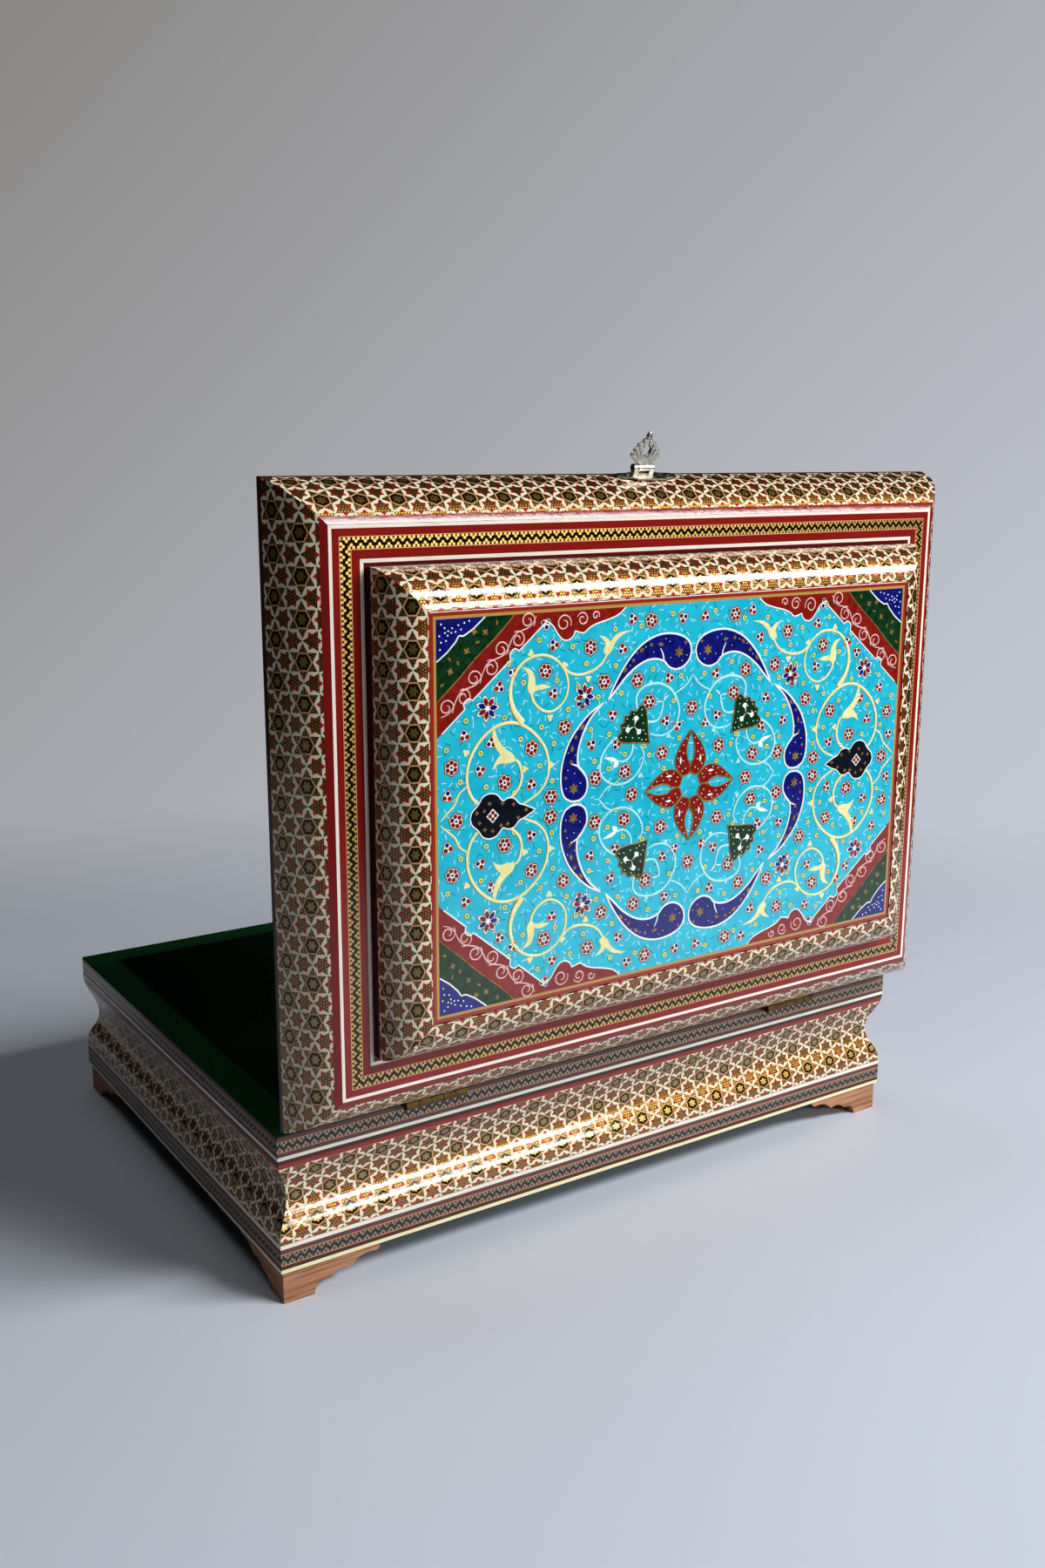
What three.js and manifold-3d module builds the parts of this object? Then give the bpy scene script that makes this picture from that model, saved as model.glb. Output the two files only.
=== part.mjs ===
// Inlaid jewellery box with a painted lid, standing open, in millimetres, +Z up.
// The front is -Y, the hinges are at the back, and the origin is below the middle of the whole open box.

import * as THREE from 'three';
import { mergeVertices } from 'three/addons/utils/BufferGeometryUtils.js';
import Module from 'manifold-3d';

const wasm = await Module();
wasm.setup();

// Driving dimensions: the box in plan, and its heights from the table up
const boxLength = 290;
const boxDepth = 214;
const footHeight = 12.1;
const lowBandHeight = 10.6;
const coveHeight = 31.5;
const topBandHeight = 8.6;

// Walls and what lies on them
const wallThickness = 12.3;
const bandVeneer = 1.0;
const coveDepth = 4.8;
const coveWaistHeight = 15.5;
const coveUpperPull = 0.35;
const coveLowerPull = 0.45;
const coveSteps = 9;
const rimFeltThickness = 0.7;
const liningThickness = 1.1;

// Bottom board, its rebate in the walls, and the felt under it
const bottomThickness = 4.0;
const bottomRebateDepth = 5.8;
const underFeltThickness = 0.6;
const underFeltInset = 0.5;
const floorPadThickness = 1.6;

// Bracket feet: one flat pad at the corner and three scallops rising from it along each leg
const footInset = 1.0;
const footThickness = 7.0;
const footLength = 38;
const footPadLength = 11.6;
const footScallops = [
  { end: 18.2, depth: 7.6, pull: 12.4, pullDepth: 7.0 },
  { end: 26.2, depth: 6.0, pull: 21.5, pullDepth: 4.2 },
  { end: 36.2, depth: 2.8, pull: 29.5, pullDepth: 1.6 },
];
const footTipPull = 2.2;
const scallopSteps = 6;

// Lid frame: a nose that leans in from the underside and ends in a narrow slope up to the ledge
const lidEdgeHeight = 19.2;
const noseWidth = 14.0;
const noseCurveWidth = 11.7;
const noseSlopeRise = 1.05;
const noseCentreInset = 17.6;
const noseCentreDrop = 6.0;
const noseSteps = 10;

// Ledge inside the nose, and the board under it
const ledgeVeneer = 1.0;
const ledgeWidth = 12.8;
const lidBoardThickness = 6.0;

// Raised middle of the lid: its moulding, the ground inside it and the painted panel on top
const crownRise = 14.5;
const crownWidth = 13.0;
const crownStripHeight = 2.0;
const panelThickness = 3.0;

// Butt hinges, with their barrels behind the back face
const hingeSpread = 170;
const hingeLength = 25;
const hingeSetback = 3.0;
const leafReach = 12.0;
const leafThickness = 1.0;
const barrelRadius = 1.8;
const hingePinRadius = 0.75;
const knuckleCount = 5;
const leafNailSpacing = 15;
const leafNailBack = 7.6;

// Clasp on the lid's front: its plate, and the pin at the plate's lower edge
const claspPlateWidth = 26;
const claspPlateHeight = 7.6;
const claspLobeWidth = 13;
const claspWingHeight = 4.4;
const claspSheet = 0.6;
const claspMiddleHeight = 5.0;
const claspPinDrop = 3.2;
const claspNailSpacing = 17.8;
const claspBarrelLength = 8.6;

// Hasp: a palmette of ribbed lobes that fan out from the pin, with a bud at its tip
const haspBarrelRadius = 1.4;
const haspBarrelLength = 4.4;
const haspPinRadius = 0.55;
const haspSheet = 0.8;
const haspNeckWidth = 5.8;
const haspNeckReach = 7.5;
const haspLobes = 4;
const haspLobePitch = 13.5;
const haspLobeLength = 10.7;
const haspLobeShortening = 0.87;
const haspLobeHalfWidth = 1.15;
const haspRibHeight = 0.3;
const haspRibShare = 0.55;
const haspBudReach = 11.3;
const haspBudLength = 3.8;
const haspBudWidth = 2.4;
const haspBudThickness = 1.6;
const haspHoleReach = 6.3;
const haspHoleWidth = 3.4;
const haspHoleLength = 3.9;

// Catch on the base's front, which the hasp drops over
const catchWidth = 14;
const catchHeight = 4.9;
const catchNailSpacing = 9.6;
const pegRadius = 1.0;
const pegHeadRadius = 1.3;
const pegHeadHeight = 0.6;
const pegReach = 2.7;

// Nails: countersunk ones in the hinges, domed ones in the clasp and the catch
const nailShankRadius = 0.55;
const nailLength = 6.0;
const sunkHeadRadius = 1.3;
const sunkHeadDepth = 0.75;
const domeHeadRadius = 1.1;
const domeHeadHeight = 0.6;
const domeShoulderRadius = 0.88;
const domeShoulderHeight = 0.42;

// Fits and clearances
const glueLine = 0.1;
const mitreGap = 0.1;
const closedGap = 0.3;
const turningGap = 0.12;
const knuckleGap = 0.25;
const nailClearance = 0.12;
const lidOpenAngle = 90;

// Facets of round things
const barrelSides = 16;
const nailSides = 10;
const holeSides = 20;
const lobeSteps = 3;

// Sizes that follow from the ones above
const halfLength = boxLength / 2;
const halfDepth = boxDepth / 2;
const lowBandTop = footHeight + lowBandHeight;
const coveTop = lowBandTop + coveHeight;
const wallTop = coveTop + topBandHeight;
const rimHeight = wallTop + glueLine + rimFeltThickness;
const wellInset = wallThickness + glueLine + liningThickness;
const ledgeInset = noseWidth + glueLine;
const crownInset = ledgeInset + ledgeWidth + glueLine;
const panelInset = crownInset + crownWidth + glueLine;
const crownTop = lidEdgeHeight + crownRise;
const lidUnderside = rimFeltThickness + glueLine;
const lidBoardTop = lidEdgeHeight - ledgeVeneer - glueLine;
const lidBoardBottom = lidBoardTop - lidBoardThickness;
const hingeAxisY = halfDepth + hingeSetback;
const hingeAxisZ = rimHeight + closedGap / 2;
const catchReach = glueLine + claspSheet + pegReach;
const backReach = hingeAxisY + closedGap / 2 + crownTop;
const middleOfDepth = (backReach - halfDepth - catchReach) / 2;

// Finishes, as the eye reads each one
const finishes = {
  inlay: { color: 0x9c7f4f, roughness: 0.25 },
  stripes: { color: 0x6a3a34, roughness: 0.25 },
  redStripes: { color: 0x8c2a26, roughness: 0.25 },
  paint: { color: 0x27b3c4, roughness: 0.2 },
  velvet: { color: 0x0d3a1c, roughness: 0.95 },
  felt: { color: 0x12502a, roughness: 0.95 },
  plywood: { color: 0xb08a5c, roughness: 0.7 },
  softwood: { color: 0xc09a6a, roughness: 0.7 },
  footWood: { color: 0x9a5a38, roughness: 0.7 },
  brass: { color: 0xb89a55, roughness: 0.35, metalness: 1 },
  whiteMetal: { color: 0xb9b4a8, roughness: 0.3, metalness: 1 },
};

// Boolean work: a geometry becomes a solid, and a solid becomes a geometry again
function solidOf(geometry) {
  const bare = geometry.clone();
  bare.deleteAttribute('normal');
  bare.deleteAttribute('uv');
  const merged = mergeVertices(bare);
  const triVerts = Uint32Array.from(merged.index.array);
  const vertProperties = Float32Array.from(merged.attributes.position.array);
  return new wasm.Manifold(new wasm.Mesh({ numProp: 3, vertProperties, triVerts }));
}

function geometryOf(solid) {
  const { vertProperties, triVerts } = solid.getMesh();
  const geometry = new THREE.BufferGeometry();
  geometry.setAttribute('position', new THREE.BufferAttribute(vertProperties, 3));
  geometry.setIndex(new THREE.BufferAttribute(triVerts, 1));
  geometry.computeVertexNormals();
  return geometry;
}

function join(first, ...others) {
  const solid = others.reduce((whole, next) => whole.add(solidOf(next)), solidOf(first));
  return geometryOf(solid);
}

function carve(body, ...cutters) {
  const solid = cutters.reduce((rest, cutter) => rest.subtract(solidOf(cutter)), solidOf(body));
  return geometryOf(solid);
}

// Simple forms, given by their lowest and highest corners, or by an axis
function block([x0, y0, z0], [x1, y1, z1]) {
  const geometry = new THREE.BoxGeometry(x1 - x0, y1 - y0, z1 - z0);
  return geometry.translate((x0 + x1) / 2, (y0 + y1) / 2, (z0 + z1) / 2);
}

function rodAlongX(radius, length, sides = barrelSides) {
  return new THREE.CylinderGeometry(radius, radius, length, sides).rotateZ(Math.PI / 2);
}

function rectangle(halfWidth, halfHeight) {
  return new THREE.Shape([
    new THREE.Vector2(-halfWidth, -halfHeight),
    new THREE.Vector2(halfWidth, -halfHeight),
    new THREE.Vector2(halfWidth, halfHeight),
    new THREE.Vector2(-halfWidth, halfHeight),
  ]);
}

function slab(shape, bottom, thickness, curveSegments = scallopSteps) {
  const options = { depth: thickness, bevelEnabled: false, curveSegments };
  return new THREE.ExtrudeGeometry(shape, options).translate(0, 0, bottom);
}

// A flat board that lies inset all round from the box's edge
function board(inset, bottom, thickness) {
  return slab(rectangle(halfLength - inset, halfDepth - inset), bottom, thickness);
}

// A flat frame between two insets
function flatFrame(outerInset, innerInset, bottom, thickness) {
  const shape = rectangle(halfLength - outerInset, halfDepth - outerInset);
  shape.holes.push(rectangle(halfLength - innerInset, halfDepth - innerInset));
  return slab(shape, bottom, thickness);
}

// A moulding along one side of the box. Its section is [inset from the box's edge, height], and each
// end lies on the corner's mitre, so the run gets shorter as the inset grows.
function mitredMoulding(section, side) {
  const contour = section.map(([inset, height]) => new THREE.Vector2(inset, height));
  if (THREE.ShapeUtils.isClockWise(contour)) contour.reverse();
  const { halfRun, reach, turn } = sides[side];
  const positions = [];
  for (const end of [-1, 1]) {
    for (const point of contour) {
      const along = end * (halfRun - point.x - mitreGap / 2);
      positions.push(along, point.x - reach, point.y);
    }
  }
  const count = contour.length;
  const indices = [];
  for (let i = 0; i < count; i += 1) {
    const next = (i + 1) % count;
    indices.push(i, next, count + next, i, count + next, count + i);
  }
  for (const [a, b, c] of THREE.ShapeUtils.triangulateShape(contour, [])) {
    indices.push(c, b, a, count + a, count + b, count + c);
  }
  const geometry = new THREE.BufferGeometry();
  geometry.setAttribute('position', new THREE.Float32BufferAttribute(positions, 3));
  geometry.setIndex(indices);
  geometry.computeVertexNormals();
  return geometry.rotateZ(turn);
}

const sides = {
  front: { halfRun: halfLength, reach: halfDepth, turn: 0 },
  right: { halfRun: halfDepth, reach: halfLength, turn: Math.PI / 2 },
  back: { halfRun: halfLength, reach: halfDepth, turn: Math.PI },
  left: { halfRun: halfDepth, reach: halfLength, turn: -Math.PI / 2 },
};

// Sections of the mouldings

function curvePoints(controls) {
  const curve = new THREE.CubicBezierCurve(...controls.map(([x, y]) => new THREE.Vector2(x, y)));
  return curve.getPoints(coveSteps).map((point) => [point.x, point.y]);
}

function wallSection() {
  const face = bandVeneer + glueLine;
  const rebate = wallThickness - bottomRebateDepth;
  const rebateTop = footHeight + bottomThickness + glueLine;
  const top = coveTop - glueLine;
  const bottom = lowBandTop + glueLine;
  const waist = lowBandTop + coveWaistHeight;
  const upperPull = (top - waist) * coveUpperPull;
  const lowerPull = (waist - bottom) * coveLowerPull;
  const upper = curvePoints([
    [0, top],
    [0, top - upperPull],
    [coveDepth, waist + upperPull],
    [coveDepth, waist],
  ]);
  const lower = curvePoints([
    [coveDepth, waist],
    [coveDepth, waist - lowerPull],
    [0, bottom + lowerPull],
    [0, bottom],
  ]);
  return [
    [face, footHeight],
    [rebate, footHeight],
    [rebate, rebateTop],
    [wallThickness, rebateTop],
    [wallThickness, wallTop],
    [face, wallTop],
    [face, top],
    ...upper,
    ...lower.slice(1),
    [face, bottom],
  ];
}

function bandSection(bottom, height) {
  return [
    [0, bottom],
    [bandVeneer, bottom],
    [bandVeneer, bottom + height],
    [0, bottom + height],
  ];
}

// The nose is part of an ellipse, whose centre lies below the lid. It runs from the lid's lower edge to the slope.
const noseCurveTop = lidEdgeHeight - noseSlopeRise;
const noseFoot = new THREE.Vector2(noseCentreInset, lidUnderside + noseCentreDrop);
const noseHead = new THREE.Vector2(noseCentreInset - noseCurveWidth, noseCurveTop + noseCentreDrop);
const noseRise = Math.sqrt(
  ((noseHead.y * noseFoot.x) ** 2 - (noseFoot.y * noseHead.x) ** 2) / (noseFoot.x ** 2 - noseHead.x ** 2),
);
const noseReach = noseFoot.x / Math.sqrt(1 - (noseFoot.y / noseRise) ** 2);

function nosePoint(angle) {
  return [noseCentreInset - noseReach * Math.cos(angle), noseRise * Math.sin(angle) - noseCentreDrop];
}

function noseAngleAt(height) {
  return Math.asin((height + noseCentreDrop) / noseRise);
}

function lidRailSection() {
  const start = noseAngleAt(lidUnderside);
  const end = noseAngleAt(noseCurveTop);
  const nose = [];
  for (let i = 0; i <= noseSteps; i += 1) {
    nose.push(nosePoint(start + (i / noseSteps) * (end - start)));
  }
  const lipBottom = lidEdgeHeight - ledgeVeneer;
  return [
    [wallThickness, lipBottom],
    [wallThickness, lidUnderside],
    ...nose,
    [noseWidth, lidEdgeHeight],
    [noseWidth, lipBottom],
  ];
}

function ledgeSection() {
  const bottom = lidEdgeHeight - ledgeVeneer;
  return [
    [ledgeInset, bottom],
    [ledgeInset + ledgeWidth, bottom],
    [ledgeInset + ledgeWidth, lidEdgeHeight],
    [ledgeInset, lidEdgeHeight],
  ];
}

function crownSection() {
  const bottom = lidEdgeHeight - ledgeVeneer;
  const springing = lidEdgeHeight + crownStripHeight;
  const inner = crownInset + crownWidth;
  const curve = [];
  for (let i = 0; i <= noseSteps; i += 1) {
    const angle = (i / noseSteps) * (Math.PI / 2);
    const height = springing + (crownTop - springing) * Math.sin(angle);
    curve.push([inner - crownWidth * Math.cos(angle), height]);
  }
  return [[inner, bottom], [crownInset, bottom], ...curve];
}

// Nails. The axis is +Z through the head. z = 0 is the seat of a domed head and the top of a sunk one.
function domedNail() {
  const profile = [
    [0, -nailLength],
    [nailShankRadius, -nailLength + 2 * nailShankRadius],
    [nailShankRadius, 0],
    [domeHeadRadius, 0],
    [domeShoulderRadius, domeShoulderHeight],
    [0, domeHeadHeight],
  ];
  return turned(profile, nailSides);
}

function sunkNail() {
  const profile = [
    [0, -nailLength],
    [nailShankRadius, -nailLength + 2 * nailShankRadius],
    [nailShankRadius, -sunkHeadDepth],
    [sunkHeadRadius, 0],
    [0, 0],
  ];
  return turned(profile, nailSides);
}

// The hole that a nail is driven through, wider than the nail by the clearance
function nailHole(countersunk) {
  const shank = nailShankRadius + nailClearance;
  const depth = nailLength + 2 * nailClearance;
  const mouth = countersunk ? sunkHeadRadius + nailClearance : shank;
  const profile = [
    [0, -depth],
    [shank, -depth],
    [shank, -sunkHeadDepth - nailClearance],
    [mouth, -nailClearance],
    [mouth, leafThickness],
    [0, leafThickness],
  ];
  return turned(profile, nailSides);
}

function turned(profile, sideCount) {
  const points = profile.map(([radius, height]) => new THREE.Vector2(radius, height));
  return new THREE.LatheGeometry(points, sideCount).rotateX(Math.PI / 2);
}

// Hinges. A leaf's own frame has the pin along X at its origin. Its plate runs towards -Y below the seam.
const knuckleLength = hingeLength / knuckleCount;
const hingePlaces = { left: -hingeSpread / 2, right: hingeSpread / 2 };

function knuckleSpan(index) {
  const start = -hingeLength / 2 + index * knuckleLength;
  const first = index === 0 ? 0 : knuckleGap / 2;
  const last = index === knuckleCount - 1 ? 0 : knuckleGap / 2;
  return [start + first, start + knuckleLength - last];
}

function hingeLeaf(firstKnuckle) {
  const top = -closedGap / 2;
  const bottom = top - leafThickness;
  const plateStart = -(barrelRadius + knuckleGap);
  const half = hingeLength / 2;
  let leaf = solidOf(block([-half, -leafReach, bottom], [half, plateStart, top]));
  for (let index = firstKnuckle; index < knuckleCount; index += 2) {
    const [start, end] = knuckleSpan(index);
    const barrel = rodAlongX(barrelRadius, end - start).translate((start + end) / 2, 0, 0);
    const tab = block([start, plateStart - leafThickness, bottom], [end, -hingePinRadius, top]);
    leaf = leaf.add(solidOf(barrel)).add(solidOf(tab));
  }
  leaf = leaf.subtract(solidOf(rodAlongX(hingePinRadius + turningGap, 2 * hingeLength)));
  for (const side of [-1, 1]) {
    leaf = leaf.subtract(solidOf(leafNailHole(side)));
  }
  return geometryOf(leaf);
}

function leafNailHole(side) {
  return nailHole(true).translate(side * leafNailSpacing / 2, -leafNailBack, -closedGap / 2);
}

function leafNail(side) {
  const sunk = -closedGap / 2 - nailClearance;
  return sunkNail().translate(side * leafNailSpacing / 2, -leafNailBack, sunk);
}

// The seat that a leaf is let into, open at the back face
function leafSeat() {
  const half = hingeLength / 2 + glueLine;
  const bottom = -closedGap / 2 - leafThickness - glueLine;
  return block([-half, -leafReach - glueLine, bottom], [half, 0, closedGap]);
}

// The lid's half of a hinge is the base's half turned over about its pin
function forLid(geometry) {
  return geometry.rotateY(Math.PI).translate(0, hingeAxisY, -closedGap / 2);
}

function forBase(geometry) {
  return geometry.translate(0, hingeAxisY, hingeAxisZ);
}

// Feet

function footOutline(length) {
  const shape = new THREE.Shape();
  shape.moveTo(0, 0);
  shape.lineTo(footPadLength, 0);
  for (const { end, depth, pull, pullDepth } of footScallops) {
    shape.quadraticCurveTo(pull, footHeight - pullDepth, end, footHeight - depth);
  }
  shape.quadraticCurveTo(length, footHeight - footTipPull, length, footHeight - glueLine);
  shape.lineTo(0, footHeight - glueLine);
  return shape;
}

// The foot at the corner where x and y are lowest, with a leg along X and a leg along Y
function foot() {
  const outline = slab(footOutline(footLength), 0, footThickness);
  const legAlongX = outline.clone().rotateX(Math.PI / 2).translate(0, footThickness, 0);
  const legAlongY = outline.clone().rotateX(Math.PI / 2).rotateZ(Math.PI / 2);
  return join(legAlongX, legAlongY);
}

const corners = {
  front_left: { x: -1, y: -1, turn: 0 },
  front_right: { x: 1, y: -1, turn: Math.PI / 2 },
  back_right: { x: 1, y: 1, turn: Math.PI },
  back_left: { x: -1, y: 1, turn: -Math.PI / 2 },
};

function placedFoot({ x, y, turn }) {
  const placeX = x * (halfLength - footInset);
  const placeY = y * (halfDepth - footInset);
  return foot().rotateZ(turn).translate(placeX, placeY, 0);
}

// Felt under the base, notched round each leg of the feet
function underFelt() {
  const top = footHeight - glueLine;
  const felt = board(underFeltInset, top - underFeltThickness, underFeltThickness);
  const long = footInset + footLength + glueLine;
  const short = footInset + footThickness + glueLine;
  const notches = Object.values(corners).flatMap(({ x, y }) => [
    cornerBlock(x, y, long, short),
    cornerBlock(x, y, short, long),
  ]);
  return carve(felt, ...notches);
}

// A block at a corner of the box, which reaches inwards along X and along Y from the box's edges
function cornerBlock(x, y, reachX, reachY) {
  const corner = block([-reachX, -reachY, 0], [reachX, reachY, footHeight]);
  return corner.translate(x * halfLength, y * halfDepth, 0);
}

// Velvet linings: a shallow tray of walls and floor, which one cut hollows out
function liningTray(bottom, top, floorBottom, floorTop) {
  const outer = wallThickness + glueLine;
  const hollow = bottom === floorBottom
    ? board(wellInset, floorTop, top - floorTop + liningThickness)
    : board(wellInset, bottom - liningThickness, floorBottom - bottom + liningThickness);
  return carve(board(outer, bottom, top - bottom), hollow);
}

// Clasp. Its own frame has the hinge pin along X at the origin, and its plate behind the pin at +Y.
const claspPlateFace = haspBarrelRadius + turningGap;

function claspPlateOutline() {
  const bottom = claspPinDrop - claspPlateHeight / 2;
  const top = bottom + claspPlateHeight;
  const middle = (bottom + top) / 2;
  const wing = claspPlateWidth / 2;
  const lobe = claspLobeWidth / 2;
  const waist = claspBarrelLength / 2;
  const ear = claspWingHeight / 2;
  const shape = new THREE.Shape();
  shape.moveTo(-waist, bottom);
  shape.lineTo(waist, bottom);
  shape.quadraticCurveTo(lobe, middle - ear, wing - ear, middle - ear);
  shape.absarc(wing - ear, middle, ear, -Math.PI / 2, Math.PI / 2, false);
  shape.quadraticCurveTo(lobe, middle + ear, lobe, top);
  shape.lineTo(-lobe, top);
  shape.quadraticCurveTo(-lobe, middle + ear, ear - wing, middle + ear);
  shape.absarc(ear - wing, middle, ear, Math.PI / 2, (3 * Math.PI) / 2, false);
  shape.quadraticCurveTo(-lobe, middle - ear, -waist, bottom);
  return shape;
}

// Sheet metal that stands upright, from an outline drawn as seen from the front. Its face is at y = front.
function uprightSheet(outline, thickness, front) {
  return slab(outline, 0, thickness).rotateX(Math.PI / 2).translate(0, front + thickness, 0);
}

function claspPlate() {
  let plate = solidOf(uprightSheet(claspPlateOutline(), claspSheet, claspPlateFace));
  const inner = haspBarrelLength / 2 + knuckleGap;
  const outer = claspBarrelLength / 2;
  for (const side of [-1, 1]) {
    const middle = side * (inner + outer) / 2;
    const half = (outer - inner) / 2;
    const barrel = rodAlongX(haspBarrelRadius, 2 * half).translate(middle, 0, 0);
    const webEnd = [middle + half, claspPlateFace + claspSheet / 2, haspBarrelRadius];
    const web = block([middle - half, 0, 0], webEnd);
    plate = plate.add(solidOf(barrel)).add(solidOf(web));
    plate = plate.subtract(solidOf(claspNailHole(side)));
  }
  plate = plate.subtract(solidOf(rodAlongX(haspPinRadius + turningGap, claspPlateWidth)));
  return geometryOf(plate);
}

// What points up along Z is turned to point out of the front, along -Y
function facingFront(geometry) {
  return geometry.rotateX(Math.PI / 2);
}

function claspNailHole(side) {
  const hole = facingFront(nailHole(false));
  return hole.translate(side * claspNailSpacing / 2, claspPlateFace, claspPinDrop);
}

function claspNail(side) {
  const nail = facingFront(domedNail());
  return nail.translate(side * claspNailSpacing / 2, claspPlateFace - glueLine, claspPinDrop);
}

// One lobe of the hasp lies in its plane along +Y and widens to a rounded tip
function lobeOutline(halfWidth, length) {
  const shape = new THREE.Shape();
  shape.moveTo(-halfWidth / 2, 0);
  shape.lineTo(halfWidth / 2, 0);
  shape.lineTo(halfWidth, length - halfWidth);
  shape.quadraticCurveTo(halfWidth, length, 0, length);
  shape.quadraticCurveTo(-halfWidth, length, -halfWidth, length - halfWidth);
  return shape;
}

function haspLobe(side, index) {
  const angle = haspLobePitch * (index + 0.5);
  const length = haspLobeLength - haspLobeShortening * index;
  const ribHalf = haspLobeHalfWidth * haspRibShare;
  const ribbed = haspSheet + 2 * haspRibHeight;
  const leaf = slab(lobeOutline(haspLobeHalfWidth, length), -haspSheet / 2, haspSheet, lobeSteps);
  const rib = slab(lobeOutline(ribHalf, length - ribHalf), -ribbed / 2, ribbed, lobeSteps);
  return [leaf, rib].map((part) => part.rotateZ(-side * THREE.MathUtils.degToRad(angle)));
}

// The neck spreads from the middle barrel to the outermost lobes
function haspNeck() {
  const outer = haspLobes - 1;
  const tip = haspLobeLength - haspLobeShortening * outer - haspLobeHalfWidth;
  const angle = THREE.MathUtils.degToRad(haspLobePitch * (outer + 0.5));
  const neck = haspNeckWidth / 2;
  const spread = [tip * Math.sin(angle), tip * Math.cos(angle)];
  const outline = [
    [-neck, 0],
    [neck, 0],
    [neck, haspBarrelRadius],
    spread,
    [0, haspNeckReach],
    [-spread[0], spread[1]],
    [-neck, haspBarrelRadius],
  ];
  const shape = new THREE.Shape(outline.map(([x, y]) => new THREE.Vector2(x, y)));
  return slab(shape, -haspSheet / 2, haspSheet);
}

// The hasp points to -Y and its pin lies along X at the origin
function hasp() {
  const lobes = [];
  for (let index = 0; index < haspLobes; index += 1) {
    lobes.push(...haspLobe(-1, index), ...haspLobe(1, index));
  }
  const bud = new THREE.SphereGeometry(0.5, barrelSides, barrelSides / 2);
  bud.scale(haspBudWidth, haspBudLength, haspBudThickness).translate(0, haspBudReach, 0);
  const reliefStart = haspBarrelLength / 2;
  const reliefEnd = haspBarrelRadius + knuckleGap;
  const relief = block([reliefStart, -reliefEnd, -reliefEnd], [haspNeckWidth, reliefEnd, reliefEnd]);
  const hole = new THREE.CylinderGeometry(0.5, 0.5, haspBarrelRadius * 2, holeSides).rotateX(Math.PI / 2);
  hole.scale(haspHoleWidth, haspHoleLength, 1).translate(0, haspHoleReach, 0);
  const leaf = carve(
    join(haspNeck(), bud, ...lobes),
    relief,
    relief.clone().rotateZ(Math.PI),
    hole,
  );
  const whole = join(leaf, rodAlongX(haspBarrelRadius, haspBarrelLength));
  return carve(whole, rodAlongX(haspPinRadius + turningGap, 2 * haspBarrelLength)).rotateZ(Math.PI);
}

// Catch: a plate with a headed peg, whose axis is Y through the origin. The box's face is at y = 0.
const catchFront = -glueLine - claspSheet;

function catchPlate() {
  const ear = catchHeight / 2;
  const middle = catchWidth / 2 - ear;
  const shape = new THREE.Shape();
  shape.absarc(middle, 0, ear, -Math.PI / 2, Math.PI / 2, false);
  shape.absarc(-middle, 0, ear, Math.PI / 2, (3 * Math.PI) / 2, false);
  const plate = uprightSheet(shape, claspSheet, catchFront);
  const root = -catchFront - claspSheet / 2;
  const tip = pegReach - catchFront;
  const profile = [
    [0, root],
    [pegRadius, root],
    [pegRadius, tip - pegHeadHeight],
    [pegHeadRadius, tip - pegHeadHeight / 2],
    [pegRadius, tip],
    [0, tip],
  ];
  const peg = facingFront(turned(profile, barrelSides));
  return carve(join(plate, peg), catchNailHole(-1), catchNailHole(1));
}

function catchNailHole(side) {
  return facingFront(nailHole(false)).translate(side * catchNailSpacing / 2, catchFront, 0);
}

function catchNail(side) {
  return facingFront(domedNail()).translate(side * catchNailSpacing / 2, catchFront - glueLine, 0);
}

// The clasp leans back with the nose: its plate touches the nose where the two have the same slope
const claspAngle = noseAngleAt(claspMiddleHeight);
const claspLean = Math.atan((noseReach * Math.sin(claspAngle)) / (noseRise * Math.cos(claspAngle)));
const claspStandOff = glueLine + claspSheet + claspPlateFace;
const [claspInset, claspHeight] = nosePoint(claspAngle);
const claspPinOut = claspStandOff * Math.cos(claspLean) + claspPinDrop * Math.sin(claspLean);
const claspPinUp = claspStandOff * Math.sin(claspLean) - claspPinDrop * Math.cos(claspLean);
const claspPinY = claspInset - halfDepth - claspPinOut;
const claspPinZ = claspHeight + claspPinUp;

// The peg stands where the hasp's hole comes when the closed lid's hasp hangs down
const pegHeight = rimHeight + closedGap + claspPinZ - haspHoleReach;

function onBaseFront(geometry) {
  return geometry.translate(0, -halfDepth, pegHeight);
}

function onLidFront(geometry) {
  return geometry.rotateX(-claspLean).translate(0, claspPinY, claspPinZ);
}

// Assembly

const group = new THREE.Group();
const base = new THREE.Group();
base.position.set(0, -middleOfDepth, 0);
group.add(base);

const lidSwing = new THREE.Group();
lidSwing.position.set(0, hingeAxisY, hingeAxisZ);
lidSwing.rotation.x = -THREE.MathUtils.degToRad(lidOpenAngle);
base.add(lidSwing);

// In this group the closed lid lies over the box, and z = 0 is its underside
const lid = new THREE.Group();
lid.position.set(0, -hingeAxisY, closedGap / 2);
lidSwing.add(lid);

function add(parent, name, geometry, finish) {
  const mesh = new THREE.Mesh(geometry, new THREE.MeshStandardMaterial(finishes[finish]));
  mesh.name = name;
  parent.add(mesh);
}

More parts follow.
